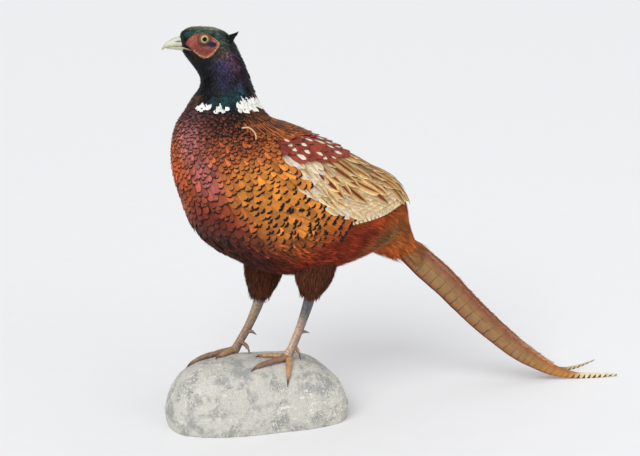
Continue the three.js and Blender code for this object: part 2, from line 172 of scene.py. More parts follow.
PAPER_HALF = 14  # metres from the middle to each side
# Matt paper, a little cooler than white, with a faint grain of lighter and darker fibres.
paper, node = new_material("matt_white_paper")
grain = node("TexNoise", {"Scale": 900.0, "Detail": 3.0})
tint = node("Mix", (grain, linear("#eeeff0"), linear("#f1f2f3")), data_type="RGBA")
finish_material(node, tint, Roughness=0.9)
corners = [[x, y, 0] for x, y in ((-1, -1), (1, -1), (1, 1), (-1, 1))]
floor = new_object("floor", np.array(corners) * PAPER_HALF, [[0, 1, 2, 3]], [], paper)


# ---------------------------------------------------------------- rock
# The stand: a boulder cast in grey cement and plaster in a soft mould, with lumps and pits over
# it, a ragged foot, and thin cream plaster brushed over it in wavy streaks. Matt and dusty.
ROCK_CENTRE = np.array([-3, -2]) * MM
ROCK_TURN = math.radians(-4)
ROCK_LENGTH = (112 * MM, 114 * MM)  # from the centre to the front end and to the tail end
ROCK_DEPTH = 61 * MM
ROCK_SQUARE = (2.5, 4)  # 2 is an ellipse, more is boxier
ROCK_SHOULDER = (4.8, 2.6)  # how square the shoulders are at the front and at the tail end
ROCK_BLEND = 40 * MM  # half the length in which one shoulder turns into the other
ROCK_HEIGHT = 80.5 * MM
ROCK_SLOPE = (0.02, -0.05)  # the top's tilt along x and y
ROCK_CROWN = 0.42  # less is flatter on top
ROCK_FOOT = 20 * MM  # height where the sides turn in
FOOT_IN = 0.965  # the underside's size against the widest level


def smooth(value, low, high):
    """0 below low, 1 above high, and smooth between."""
    t = np.clip((value - low) / (high - low), 0, 1)
    return t * t * (3 - 2 * t)


def rock_top(x, y):
    """Height of the boulder's top over the floor at x, y."""
    dx, dy = x - ROCK_CENTRE[0], y - ROCK_CENTRE[1]
    along = dx * math.cos(ROCK_TURN) + dy * math.sin(ROCK_TURN)
    across = dy * math.cos(ROCK_TURN) - dx * math.sin(ROCK_TURN)
    front = along < 0
    half = np.where(front, *ROCK_LENGTH)
    square = np.where(front, *ROCK_SQUARE)
    first, last = ROCK_SHOULDER
    shoulder = first + (last - first) * smooth(along, -ROCK_BLEND, ROCK_BLEND)
    out = np.abs(along / half) ** square + np.abs(across / ROCK_DEPTH) ** square
    out = np.minimum(out, 1) ** (1 / square)
    level = ROCK_HEIGHT + ROCK_SLOPE[0] * x + ROCK_SLOPE[1] * y
    return level * (1 - out ** shoulder) ** ROCK_CROWN


def rough(points, scale, detail):
    """Fractal noise, about -1 to 1, at points; scale is the size of its lumps in metres."""
    return np.array([noise.fractal(Vector(p) / scale, 0.9, 2.0, detail) for p in points])


def grid_faces(rows, cols, closed=True):
    """Quads of a grid of points, rows by cols, joined round its columns if it is closed."""
    row, col = np.meshgrid(np.arange(rows - 1), np.arange(cols if closed else cols - 1),
                           indexing="ij")
    near, far, right = row * cols, (row + 1) * cols, (col + 1) % cols
    return np.stack([near + col, near + right, far + right, far + col], -1).reshape(-1, 4)


def closed_tubes(grids):
    """Points and quads of tubes, and the rings that close their ends, all facing out."""
    points, quads, rings, start = [], [], [], 0
    for grid in grids:
        rows, cols = grid.shape[:2]
        local = grid.reshape(-1, 3) - grid.mean((0, 1))
        faces = grid_faces(rows, cols)
        a, b, c, _ = (local[faces[:, corner]] for corner in range(4))
        ring = np.arange(cols)
        ends = [ring[::-1], ring + (rows - 1) * cols]
        if (a * np.cross(b, c)).sum() < 0:
            faces, ends = faces[:, ::-1], [end[::-1] for end in ends]
        points.append(grid.reshape(-1, 3))
        quads.append(faces + start)
        rings += [end + start for end in ends]
        start += rows * cols
    return np.concatenate(points), np.concatenate(quads), rings


ROCK_COLS = 300
out_steps = np.concatenate([np.linspace(0.002, 0.8, 44), np.linspace(0.815, 1, 26)])
turn = np.linspace(0, 2 * np.pi, ROCK_COLS, endpoint=False)
front = np.cos(turn) < 0
square = np.where(front, *ROCK_SQUARE)
corner = (np.abs(np.cos(turn)) ** square + np.abs(np.sin(turn)) ** square) ** (-1 / square)
foot_steps = np.linspace(1, 0, 14)[1:]
rings = []
for out in out_steps:
    along = np.where(front, *ROCK_LENGTH) * out * corner * np.cos(turn)
    across = ROCK_DEPTH * out * corner * np.sin(turn)
    x = ROCK_CENTRE[0] + along * math.cos(ROCK_TURN) - across * math.sin(ROCK_TURN)
    y = ROCK_CENTRE[1] + along * math.sin(ROCK_TURN) + across * math.cos(ROCK_TURN)
    rings.append(np.stack([x, y, np.maximum(rock_top(x, y), ROCK_FOOT)], -1))
for share in foot_steps:
    ring = rings[len(out_steps) - 1].copy()
    size = 1 - (1 - FOOT_IN) * (1 - share) ** 2
    ring[:, :2] = ROCK_CENTRE + (ring[:, :2] - ROCK_CENTRE) * size
    ring[:, 2] = ROCK_FOOT * share
    rings.append(ring)
rock_points = np.array(rings)
flat = rock_points.reshape(-1, 3)
lump = 1.3 * rough(flat, 0.035, 3) + 0.35 * rough(flat + 5, 0.007, 3)
streaks = rough(flat * (1, 1, 2.6) + 9, 0.016, 4)
lump += 0.5 * np.clip(streaks, 0, 0.6)
WORN_TOP = 0.9  # the share of the height over which the top is worn smooth by the mounter
lump *= np.where(flat[:, 2] / ROCK_HEIGHT > WORN_TOP, 0.45, 1.0)
outward = flat - [*ROCK_CENTRE, 0.03]
outward /= np.linalg.norm(outward, axis=1)[:, None]
flat = flat + outward * (lump * MM)[:, None]
flat[:, 2] = np.maximum(flat[:, 2], 0)
flat[-ROCK_COLS:, 2] = np.clip(0.6 * rough(flat[-ROCK_COLS:], 0.006, 2), 0, 1) * MM

# Grey cement speckled light and dark, with cloudy stains, dusty cream plaster left in the wavy
# creases of a crumpled mould, and a few pits painted dark as shade.
cast_cement, node = new_material("cast_cement_and_plaster")
place = node("TexCoord").outputs["Object"]
patches = node("TexNoise", (place, 15.0, 3.0))
bent = node("TexNoise", (place, 38.0, 5.0))
wavy = node("Mix", (0.12, place, bent.outputs["Color"]), data_type="VECTOR")
waves = node("TexNoise", (wavy, 75.0, 9.0, 0.62, 2.0, 0.6))
fold = node("Math", (waves, 9.0), "MULTIPLY")
fold = node("Math", (fold, 1.0), "PINGPONG")
lines = node("MapRange", (fold, 0.52, 0.95))
here = node("MapRange", (patches, 0.38, 0.62, 0.15, 1.5))
plaster = node("Math", (lines, here), "MULTIPLY", use_clamp=True)
speckle = node("TexNoise", (place, 900.0, 3.0))
mottle = node("TexNoise", (place, 48.0, 7.0, 0.72))
cement_tone = node("MapRange", (speckle, 0.32, 0.6))
cement = node("Mix", (cement_tone, linear("#afaea8"), linear("#d0cdc2")), data_type="RGBA")
grey = node("MapRange", (mottle, 0.48, 0.58, 0.0, 0.8))
darker = node("Mix", (grey, cement, linear("#8b8d8c")), data_type="RGBA")
coated = node("Mix", (plaster, darker, linear("#eae7da")), data_type="RGBA")
pits = node("TexVoronoi", (place, 80.0))
pit = node("MapRange", (pits, 0.05, 0.08))
# Painted shade: each pit is darkened to stand for the shade inside it.
with_painted_pit_shade = node("Mix", (pit, linear("#777670"), coated), data_type="RGBA")
relief = node("Math", (plaster, speckle), "ADD")
relief = node("Math", (relief, pit), "ADD")
finish_material(node, with_painted_pit_shade, None, (relief, 0.7, 0.0006), Roughness=0.93)

base_rock = new_object("base_rock_cast", *closed_tubes([flat.reshape(rock_points.shape)]),
                       cast_cement)
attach(base_rock, "root")
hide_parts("base_rock")


# ---------------------------------------------------------------- skin
# The dressed skin over the filled form, from the bill's root to the tail's root with both thighs
# in one piece. It is dry and matt, three millimetres below the coat's outside, and takes the
# feathers' own colours, darkened as painted shade where it shows between them.
# Sections from bill to tail: back line x, z, front line x, z, half width, and how far the widest
# level lies toward the back, in millimetres.
BODY_SECTIONS = [
    (-88.5, 480, -87, 464.5, 5, .2), (-84, 485, -81.5, 455, 10, .25),
    (-76, 489, -75, 446.5, 13.5, .28), (-63, 490, -69, 438, 15, .28),
    (-48, 488.5, -65.5, 431, 16, .22), (-36, 484, -64.5, 425, 17.5, .15),
    (-26, 474, -65, 420, 19, .08), (-17, 457, -67, 415, 21, 0),
    (-8.5, 436, -71, 410, 24, 0), (-1, 414, -77, 403, 28, 0), (7, 394, -85, 391, 34, 0),
    (24, 376, -96, 374, 43, 0), (44, 365, -101.5, 348, 53, 0), (65, 356, -100, 316, 61, 0),
    (85, 346, -91, 284, 66, 0), (105, 335, -79, 252, 69, 0), (125, 324, -57, 226, 70, 0),
    (145, 312, -24, 206, 68, 0), (164, 302, 14, 189, 64, 0), (181, 289, 52, 183, 57, 0),
    (193, 272, 88, 186, 47, 0), (199, 253, 120, 193, 36, 0), (202, 236, 147, 201, 27, 0),
    (208, 219, 175, 190, 19, 0),
]
BODY_SQUARE = 2.15
ROWS_TO_SECTION = 12
LAST = len(BODY_SECTIONS) - 1
HEAD_YAW = math.radians(14)  # the head is turned to the bird's right
HEAD_AXIS = -38 * MM
NECK_LEVELS = (392 * MM, 446 * MM)


def through(values, at):
    """Rows of values read smoothly at places counted in rows."""
    values = np.asarray(values, float)
    first = np.clip(np.floor(at).astype(int), 0, len(values) - 2)
    f = (np.asarray(at, float) - first)[..., None]
    ends = [2 * values[0] - values[1]], [2 * values[-1] - values[-2]]
    padded = np.concatenate([ends[0], values, ends[1]])
    a, b, c, d = (padded[first + i] for i in range(4))
    return b + 0.5 * f * (c - a + f * (2 * a - 5 * b + 4 * c - d + f * (3 * b - 3 * c + d - a)))


def section_grid(sections, steps, cols):
    """Points on a tube through sections, and their section numbers and angles. Angle 0 is the
    back line, a half turn the front line, and the bird's left side lies between."""
    number = np.linspace(0, len(sections) - 1, steps)
    back_x, back_z, front_x, front_z, half, high = through(sections, number).T[..., None]
    angle = np.linspace(0, 2 * np.pi, cols, endpoint=False)[None]
    up = np.sign(np.cos(angle)) * np.abs(np.cos(angle)) ** (2 / BODY_SQUARE)
    side = np.sign(np.sin(angle)) * np.abs(np.sin(angle)) ** (2 / BODY_SQUARE)
    x = (back_x + front_x) / 2 + (back_x - front_x) / 2 * up
    z = (back_z + front_z) / 2 + (back_z - front_z) / 2 * up
    y = -half * side * (1 + high * up)
    return np.stack([x, y, z], -1) * MM


def turn_head(points):
    """Turns what is above the neck's levels to the bird's right, as the head is turned."""
    points = np.array(points, float)
    yaw = -HEAD_YAW * smooth(points[..., 2], *NECK_LEVELS)
    x, y = points[..., 0] - HEAD_AXIS, points[..., 1].copy()
    points[..., 0] = HEAD_AXIS + x * np.cos(yaw) - y * np.sin(yaw)
    points[..., 1] = x * np.sin(yaw) + y * np.cos(yaw)
    return points


def unit(vectors):
    return vectors / np.maximum(np.linalg.norm(vectors, axis=-1, keepdims=True), 1e-9)


class Form:
    """A tube that feathers or scales grow on: a grid of points, read by number and angle."""

    def __init__(self, points, last):
        self.points, self.last = points, last
        self.rows, self.cols = points.shape[:2]
        along = np.gradient(points, axis=0)
        around = np.roll(points, -1, 1) - np.roll(points, 1, 1)
        normals = unit(np.cross(around, along))
        outward = points - points.mean(1, keepdims=True)
        self.normals = normals * np.sign((normals * outward).sum())
        self.along = along * (self.rows - 1) / last
        self.reach = np.linalg.norm(self.along, axis=-1)  # metres to a section
        self.girth = np.linalg.norm(around, axis=-1) * self.cols / (4 * np.pi)  # and to a radian

    def read(self, grid, number, angle):
        i = np.clip(number / self.last * (self.rows - 1), 0, self.rows - 1.0001)
        j = (angle / (2 * np.pi) * self.cols) % self.cols
        i0, j0 = np.floor(i).astype(int), np.floor(j).astype(int) % self.cols
        j1 = (j0 + 1) % self.cols
        fi, fj = i - i0, j - np.floor(j)
        if grid.ndim == 3:
            fi, fj = fi[..., None], fj[..., None]
        near = grid[i0, j0] * (1 - fj) + grid[i0, j1] * fj
        far = grid[i0 + 1, j0] * (1 - fj) + grid[i0 + 1, j1] * fj
        return near * (1 - fi) + far * fi


straight_body = section_grid(BODY_SECTIONS, LAST * ROWS_TO_SECTION + 1, 240)
body = Form(turn_head(straight_body), LAST)

# Where each colour of the plumage lies: section number and its spread, degrees from the back
# line and their spread. Later ones lie over earlier ones. The two sides are alike.
PLUMAGE = [
    ("copper breast", "#b05226", 12.5, 9, 100, 200),
    ("golden flank", "#ca7d30", 15.4, 2.5, 93, 31),
    ("maroon copper throat base", "#98422a", 10.5, 1.25, 100, 80),
    ("maroon copper shoulder", "#a04c26", 11.8, 0.9, 84, 22),
    # Painted sheen: the breast's mauve gloss is painted into the coat's colour, high and low.
    ("painted mauve sheen, high", "#c8766e", 11.1, 1.5, 156, 22),
    ("painted mauve sheen, low", "#b4625a", 13.3, 0.95, 136, 12),
    ("deep orange keel", "#cc5a20", 13.4, 1.4, 178, 18),
    ("maroon under breast", "#94301c", 15.4, 1.0, 146, 20),
    ("dark belly", "#40201a", 17.2, 2.3, 166, 38),
    ("maroon vent", "#7c2d1a", 19.4, 1.4, 118, 46),
    ("rufous rump", "#a85a2a", 22.2, 1.5, 60, 70),
    ("olive rump", "#785230", 21.2, 0.7, 88, 24),
    ("rusty mantle", "#ba6328", 11.4, 2.0, 32, 44),
    ("blue-black neck", "#12131f", 6.4, 3.7, 100, 170),
    # Painted sheen: the neck's violet and purple gloss, painted in fixed places over its
    # blue-black.
    ("painted violet sheen, neck side", "#2a2649", 6.9, 1.2, 80, 20),
    ("painted purple sheen, neck", "#342030", 6.7, 1.5, 46, 24),
    ("brown cheek", "#3d2f28", 5.6, 0.75, 60, 22),
    ("teal neck foot", "#143438", 9.35, 0.6, 86, 40),
    ("brown throat foot", "#6a4c2c", 8.9, 0.6, 166, 20),
    ("black throat", "#0c0c0f", 3.9, 3.2, 166, 52),
    ("black face", "#0c0d12", 0.6, 1.5, 90, 200),
    ("green crown side", "#2a4641", 3.2, 2.2, 44, 20),
    # The crown's own olive, lightened on top as a painted highlight.
    ("olive crown, painted highlight", "#8b8b72", 3.8, 2.0, 0, 22),
    ("green nape", "#1d3026", 6.0, 1.0, 5, 28),
]


def degrees_from_back(angle):
    return np.degrees(np.abs((angle + np.pi) % (2 * np.pi) - np.pi))


def plumage(number, angle):
    """The coat's colour, sRGB from 0 to 1, at section numbers and angles."""
    degrees = degrees_from_back(angle)
    colour = np.broadcast_to(rgb(PLUMAGE[0][1]), np.shape(number) + (3,))
    for _, tint, middle, spread, at, width in PLUMAGE[1:]:
        far = ((number - middle) / spread) ** 2 + ((degrees - at) / width) ** 2
        share = np.clip(1.7 * np.exp(-far), 0, 1)[..., None]
        colour = colour * (1 - share) + rgb(tint) * share
    return colour


def set_colours(piece, name, colours):
    """Stores one sRGB colour to a point, as linear light."""
    layer = piece.data.attributes.new(name, "FLOAT_COLOR", "POINT")
    layer.data.foreach_set("color", np.asarray(linear(colours), np.float32).ravel())


def set_values(piece, name, values):
    layer = piece.data.attributes.new(name, "FLOAT", "POINT")
    layer.data.foreach_set("value", np.asarray(values, np.float32).ravel())


def set_map(piece, name, places):
    """Stores one UV place to a point."""
    loops = np.empty(len(piece.data.loops), np.int32)
    piece.data.loops.foreach_get("vertex_index", loops)
    layer = piece.data.uv_layers.new(name=name)
    layer.data.foreach_set("uv", np.asarray(places, np.float32).reshape(-1, 2)[loops].ravel())


def tube_grid(path, across, upright, steps, cols, hint):
    """Points on an oval tube along a path, given in millimetres with its half widths."""
    share = np.linspace(0, 1, steps)
    centre = through(path, share * (len(path) - 1))
    ahead = unit(np.gradient(centre, axis=0))
    side = unit(np.cross(ahead, hint))
    up = unit(np.cross(side, ahead))
    a = through(np.array(across)[:, None], share * (len(across) - 1))
    b = through(np.array(upright)[:, None], share * (len(upright) - 1))
    angle = np.linspace(0, 2 * np.pi, cols, endpoint=False)[None, :, None]
    grid = centre[:, None] + side[:, None] * a[:, None] * np.cos(angle)
    return (grid + up[:, None] * b[:, None] * np.sin(angle)) * MM


SIDES = {"left": -1, "right": 1}
THIGHS = {  # x, distance from the middle, z, from the flank to the heel
    "left": [(68, 30, 215), (65, 31, 188), (62, 30, 172), (58.5, 30, 159)],
    "right": [(27, 30, 215), (21.5, 31, 182), (18, 31, 162), (14.5, 30, 145)],
}
THIGH_WIDE = (18, 15, 12.5, 7.5)
THIGH_LONG = (30, 26, 20, 9)
thighs = {}
for name, side in SIDES.items():
    path = np.array(THIGHS[name], float) * (1, side, 1)
    thighs[name] = Form(tube_grid(path, THIGH_WIDE, THIGH_LONG, 41, 48, (-1, 0, 0)), 3)


def one_skin(name, grids, voxel, material):
    """Closed tubes melted into one surface of even quads."""
    piece = new_object(name, *closed_tubes(grids), material)
    melt = piece.modifiers.new("one_skin", "REMESH")
    melt.mode = "VOXEL"
    melt.voxel_size = voxel
    with bpy.context.temp_override(object=piece, active_object=piece):
        bpy.ops.object.modifier_apply(modifier="one_skin")
    piece.data.shade_smooth()
    return piece


def skin_depth(number):
    """How far the skin lies below the coat's outside, in metres, from the head to the tail."""
    return MM * (0.9 + 2.6 * smooth(number, 5, 12))


def nearest(points, piece):
    """For each point of a piece's mesh, the number of the nearest of some points."""
    known = KDTree(len(points))
    for i, point in enumerate(points):
        known.insert(point, i)
    known.balance()
    return np.array([known.find(v.co)[1] for v in piece.data.vertices])


# Dull leathery skin with fine pores, in the feathers' colours darkened as painted shade.
dry_skin, node = new_material("dry_dressed_skin")
ground = node("Attribute", attribute_name="ground")
place = node("TexCoord").outputs["Object"]
pores = node("TexNoise", (place, 420.0, 4.0))
shade = node("MapRange", (pores, 0.0, 1.0, 0.7, 1.2))
finish_material(node, ground, shade, (pores, 0.4, 0.0005), Roughness=0.85)

number = np.linspace(0, LAST, body.rows)[:, None, None]
inner = [body.points - body.normals * skin_depth(number)]
inner += [form.points - form.normals * 2.5 * MM for form in thighs.values()]
skin = one_skin("skin", inner, 1.9 * MM, dry_skin)

# Each point of the skin takes its colour and its place on the map from the nearest point of the
# form; faces that cross the back line are unrolled past its end.
places = nearest(body.points.reshape(-1, 3), skin)
skin_number = places // body.cols / (body.rows - 1) * LAST
skin_angle = places % body.cols / body.cols * 2 * np.pi
# Painted shade: where the skin shows between the feathers, it is darker than they are.
SKIN_PAINTED_SHADE = 0.55  # the skin is darker than the feathers over it
set_colours(skin, "ground", plumage(skin_number, skin_angle) * SKIN_PAINTED_SHADE)
loops = np.empty(len(skin.data.loops), np.int32)
skin.data.loops.foreach_get("vertex_index", loops)
u = (skin_angle / (2 * np.pi))[loops].reshape(-1, 4)
u = np.where((u.max(1) - u.min(1))[:, None] > 0.5, np.where(u < 0.5, u + 1, u), u).ravel()
layer = skin.data.uv_layers.new(name="OFBake")
layer.data.foreach_set("uv", np.stack([u * 0.9 + 0.01, skin_number[loops] / LAST * 0.98 + 0.01],
                                      -1).ravel())

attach(skin, "root")
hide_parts("head", "neck", "trunk", "rump", "thigh_left", "thigh_right")


# ---------------------------------------------------------------- contour feathers
# The small stiff feathers that shingle the breast, flanks, mantle, neck and head, each rooted in
# the skin under the tips of those before it. Keratin barbs make each vane a fine-ribbed, silky
# blade with a shaft line; its colour is paler or darker in the middle and black at the tip.
class Vanes:
    """A batch of like feathers: points on a grid (feather, row, column), and what they carry.

    Each point's place on its vane is kept twice: as a share of the half width and of the rounded
    end, and in metres across and along, which the grain adds a random start to."""

    def __init__(self, points, across, share, rounded, half, length):
        self.points, self.share, self.layers = points, share, {}
        self.number = np.arange(len(points), dtype=float)
        self.angle = self.number * 0
        shape = points.shape[:3]
        wide = np.broadcast_to(across, shape)
        self.vane = np.stack([wide, np.broadcast_to(rounded[:, None], shape)], -1)
        far = np.broadcast_to(share[:, None], shape) * length
        self.lie = np.stack([wide * half, far], -1)
        self.grain = self.lie + rng.uniform(0, 1, (shape[0], 1, 1, 2))

    def carry(self, **layers):
        """Gives each point colours or values, one to a feather, a row or a point."""
        for name, value in layers.items():
            value = np.asarray(rgb(value), float)
            width = (3,) if name in ("ground", "core_colour") else ()
            while value.ndim < 3 + len(width):
                value = np.expand_dims(value, value.ndim - len(width))
            self.layers[name] = np.broadcast_to(value, self.points.shape[:3] + width)
        return self


ROUND_ROWS = (0.42, 0.7, 0.9, 1.0)  # places of the rows in a vane's rounded end


def vanes_on(spine, normals, along, round_from, half, lift, width, camber, columns, ragged, down):
    """Feathers along spines: points (feather, row) with the normals of what they lie on."""
    count = len(spine)
    ahead = unit(np.gradient(spine, axis=1))
    side = unit(np.cross(ahead, normals)) * np.reshape(down, (-1, 1, 1))
    across = np.linspace(-1, 1, columns + 1) * width[:, None]
    across = across[None] * (1 + ragged * rng.standard_normal((count, len(along), columns + 1)))
    half = np.broadcast_to(half, count)[:, None, None]
    out = lift[..., None] * MM - camber * half * across ** 2
    points = (spine[:, :, None] + normals[:, :, None] * out[..., None]
              + side[:, :, None] * (across * half)[..., None])
    y = np.clip((along - round_from) / (1 - round_from), 0, 1)
    length = np.linalg.norm(np.diff(spine, axis=1), axis=-1).sum(1)[:, None, None]
    return Vanes(points, across, along, y, half, length)


def lay_vanes(form, number, angle, length, half, root, tip, round_from, lie=0.0, stray=0.0,
              point=0.5, camber=0.3, columns=4, stem=(0, 0.5), ragged=0.04, path=None):
    """Feathers from roots at section numbers and angles, laid along a form toward the tail.

    Lengths and half widths are in metres, root and tip are the lifts over the form in
    millimetres. Lie turns feathers from the form's line toward the belly, in radians, and stray
    is its spread. The sides run straight over the stem's rows and round off from round_from; a
    higher point makes the end more pointed. path(share) gives section numbers and angles along
    the feathers, in place of lie."""
    count = len(number)
    if stray:
        lie = stray * rng.standard_normal(count)
    along = np.array([s * round_from for s in stem]
                     + [round_from + (1 - round_from) * y for y in (0,) + ROUND_ROWS])
    y = np.clip((along - round_from) / (1 - round_from), 0, 1)
    width = np.maximum((1 - y ** 2) ** point, 0.06) * np.where(along < 0.05, 0.4, 1)
    length, half, lie, root, tip = (np.broadcast_to(v, count).astype(float)
                                    for v in (length, half, lie, root, tip))
    down = np.where(np.sin(angle) >= 0, 1, -1)
    s, a, past = np.array(number, float), np.array(angle, float), np.zeros(count)
    spine, normals, here = [], [], 0
    for share in along:
        step = length * (share - here)
        here = share
        if path is not None:
            s, a = path(share)
        elif np.any(step):
            ahead = step * np.cos(lie)
            room = np.maximum(form.last - 0.02 - s, 0) * form.read(form.reach, s, a)
            past += np.maximum(ahead - room, 0)
            s = s + np.minimum(ahead, room) / form.read(form.reach, s, a)
            a = a + down * step * np.sin(lie) / np.maximum(form.read(form.girth, s, a), 0.004)
        place = form.read(form.points, s, a)
        onward = unit(form.read(form.along, s, a))
        spine.append(place + onward * past[:, None])
        normals.append(unit(form.read(form.normals, s, a)))
    lift = root[:, None] + (tip - root)[:, None] * along
    vanes = vanes_on(np.stack(spine, 1), np.stack(normals, 1), along, round_from, half, lift,
                     width, camber, columns, ragged, down)
    vanes.number, vanes.angle = np.asarray(number), np.asarray(angle)
    vanes.tip_number, vanes.tip_angle = s, a
    return vanes


def feather_piece(name, batches, material):
    """One mesh of batches of feathers. Each feather's patch of the bake's map lies where its
    root does: in rows by section number, and by angle along a row."""
    number = np.concatenate([batch.number for batch in batches])
    angle = np.concatenate([batch.angle for batch in batches]) % (2 * np.pi)
    rows = int(np.ceil(np.sqrt(len(number))))
    cell = np.empty((len(number), 2))
    for row, members in enumerate(np.array_split(np.argsort(number, kind="stable"), rows)):
        members = members[np.argsort(angle[members], kind="stable")]
        cell[members] = np.stack([np.arange(len(members)), np.full(len(members), row)], -1)
    faces, bake, first, start = [], [], 0, 0
    for batch in batches:
        count, r, c = batch.points.shape[:3]
        steps = np.arange(count)[:, None, None] * r * c + start
        faces.append((grid_faces(r, c, False) + steps).reshape(-1, 4))
        far = np.broadcast_to(batch.share[:, None] - 0.5, (count, r, c))
        patch = np.stack([batch.vane[..., 0] * 0.5, far], -1)
        at = cell[first:first + count, None, None] + 0.5 + 0.8 * patch
        bake.append((at / (rows + 1)).reshape(-1, 2))
        first += count
        start += count * r * c
    points = np.concatenate([batch.points.reshape(-1, 3) for batch in batches])
    piece = new_object(name, points, np.concatenate(faces), [], material)
    for layer in sorted(batches[0].layers):
        values = [batch.layers[layer] for batch in batches]
        values = np.concatenate([value.reshape(-1, *value.shape[3:]) for value in values])
        if values.ndim == 2:
            set_colours(piece, layer, values)
        else:
            set_values(piece, layer, values)
    set_map(piece, "OFBake", np.concatenate(bake))
    set_map(piece, "Vane", np.concatenate([batch.vane.reshape(-1, 2) for batch in batches]))
    set_map(piece, "Lie", np.concatenate([batch.grain.reshape(-1, 2) for batch in batches]))
    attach(piece, "root")
    return piece


def root_rows(form, start, stop, pitch, closeness=0.8, jitter=0.08):
    """Staggered rows of roots from one section number to another. The pitch, the space between
    neighbours in a row, is in metres: one number, or a function of section number and angle."""
    def space_at(number, angle):
        return pitch(number, angle) if callable(pitch) else np.full(np.shape(number), pitch)

    numbers, angles, number, odd = [], [], start, 0
    turn = np.linspace(0, 2 * np.pi, 721)
    while number < stop:
        here = np.full(len(turn), number)
        space = space_at(here, turn)
        per_turn = form.read(form.girth, here, turn) / space
        count = np.concatenate([[0], np.cumsum((per_turn[1:] + per_turn[:-1]) / 2)])
        count *= 2 * np.pi / 720
        n = max(int(round(count[-1])), 3)
        at = (np.arange(n) + 0.5 * odd) * count[-1] / n
        angles.append(np.interp(at, count, turn))
        numbers.append(np.full(n, number))
        number += closeness * np.mean(space) / np.mean(form.read(form.reach, here, turn))
        odd = 1 - odd
    number, angle = np.concatenate(numbers), np.concatenate(angles)
    space = space_at(number, angle)
    number = number + jitter * rng.standard_normal(len(number)) * space / form.read(
        form.reach, number, angle)
    angle = angle + jitter * rng.standard_normal(len(angle)) * space / form.read(
        form.girth, number, angle)
    return np.clip(number, 0.02, form.last - 0.02), angle


def kept(keep, number, angle):
    """The roots to keep, with their degrees from the back line and their count."""
    number, angle = number[keep], angle[keep]
    return number, angle, degrees_from_back(angle), len(number)


BARB_PITCH = 0.8 * MM  # real barbs lie 0.3 mm apart, drawn coarser so that they show


def barbed_shade(node, lie, away, pitch, slant, depth, clump, tones, shaft):
    """Fine barbs that slant out from the shaft, clumps of darker ones, and the darker shaft."""
    along = node("SeparateXYZ", [lie]).outputs["Y"]
    slope = node("Math", (away, -slant, along), "MULTIPLY_ADD")
    phase = node("Math", (slope, 2 * math.pi / pitch), "MULTIPLY")
    barbs = node("Math", [phase], "SINE")
    clumps = node("TexNoise", (lie, clump[0], clump[1]))
    shade = node("Math", (barbs, depth, clumps), "MULTIPLY_ADD")
    shade = node("MapRange", (shade, 0.25, 0.75, *tones))
    shaft = node("MapRange", (away, *shaft, 1.0))
    return barbs, node("Math", (shade, shaft), "MULTIPLY")


def feather_material(name, mark, roughness, metallic=0.0, specular=0.2):
    """A vane's nodes: ground colour, core streak with a rim, black tip, shaft and barbs."""
    material, node = new_material(name)
    shape = node("UVMap", uv_map="Vane")
    grain = node("UVMap", uv_map="Lie")
    out = node("VectorMath", [shape], "LENGTH")
    across = node("SeparateXYZ", [shape])
    away = node("Math", [across], "ABSOLUTE")
    frayed = node("TexNoise", (grain, 750.0, 2.0))
    fray = node("MapRange", (frayed, 0.0, 1.0, -0.13, 0.13))
    keys = ("ground", "core_colour", "core", "rim", "band", "spot")
    values = {key: node("Attribute", attribute_name=key) for key in keys}

    # The black tip: a band along the rounded edge, and a spot in its middle.
    inward = node("MapRange", (away, 0.3, 0.68, 1.0, 0.0))
    spot = node("Math", (values["spot"].outputs["Fac"], inward, values["band"].outputs["Fac"]),
                "MULTIPLY_ADD")
    depth = node("Math", (out, spot), "ADD")
    depth = node("Math", (depth, fray), "ADD")
    at_tip = node("MapRange", (depth, 0.98, 1.06))

    # The core streak and the dark rim round it.
    to_core = node("Math", (values["core"].outputs["Fac"], away), "SUBTRACT")
    to_core = node("Math", (fray, 0.5, to_core), "MULTIPLY_ADD")
    in_core = node("MapRange", (to_core, -0.02, 0.05))
    to_rim = node("Math", (to_core, values["rim"].outputs["Fac"]), "ADD")
    in_rim = node("MapRange", (to_rim, 0.0, 0.06))
    has_rim = node("Math", (values["rim"].outputs["Fac"], 0.01), "GREATER_THAN")
    in_rim = node("Math", (in_rim, has_rim), "MULTIPLY")
    rimmed = node("Mix", (in_rim, values["ground"], linear(mark)), data_type="RGBA")
    cored = node("Mix", (in_core, rimmed, values["core_colour"]), data_type="RGBA")
    tipped = node("Mix", (at_tip, cored, linear(mark)), data_type="RGBA")

    barbs, shade = barbed_shade(node, grain, away, BARB_PITCH, 3.0 * MM, 0.07, (260.0, 3.0),
                                (0.76, 1.24), (0.02, 0.09, 0.78))
    finish_material(node, tipped, shade, (barbs, 0.22, 0.0003), Roughness=roughness,
                    Metallic=metallic, Specular_IOR_Level=specular)
    return material


def varied(colour, spread, count):
    """Each feather a little lighter or darker than its neighbours."""
    return rgb(colour) * (1 + spread * rng.standard_normal((count, 1)))


# The line from the shoulder along the wing's front and lower edge, as section numbers and
# degrees: above it lie mantle and wing, below it breast, flank and vent.
WING_LINE = [(9.5, 60), (10.3, 74), (11, 80), (11.7, 73), (12.3, 68), (13, 71.5), (13.7, 74),
             (14.6, 76.5), (15.2, 80), (16.7, 80), (17.9, 81), (19.3, 62), (20.7, 18)]


def line_at(line, place):
    """Where a line of pairs passes at a place."""
    return np.interp(place, *np.transpose(line))


def wing_line(number):
    return line_at(WING_LINE, number)


def belly_line(number):
    """Degrees to the dark belly's edge, which widens toward the tail."""
    return 180 - 26 * (number - 14.4)


def breast_pitch(number, angle):
    degrees = degrees_from_back(angle)
    flank = smooth(number, 12.4, 15.2) * np.exp(-((degrees - 92) / 36) ** 2)
    return MM * (4.5 + 3.1 * smooth(number, 10.8, 14.0) + 3.2 * flank)


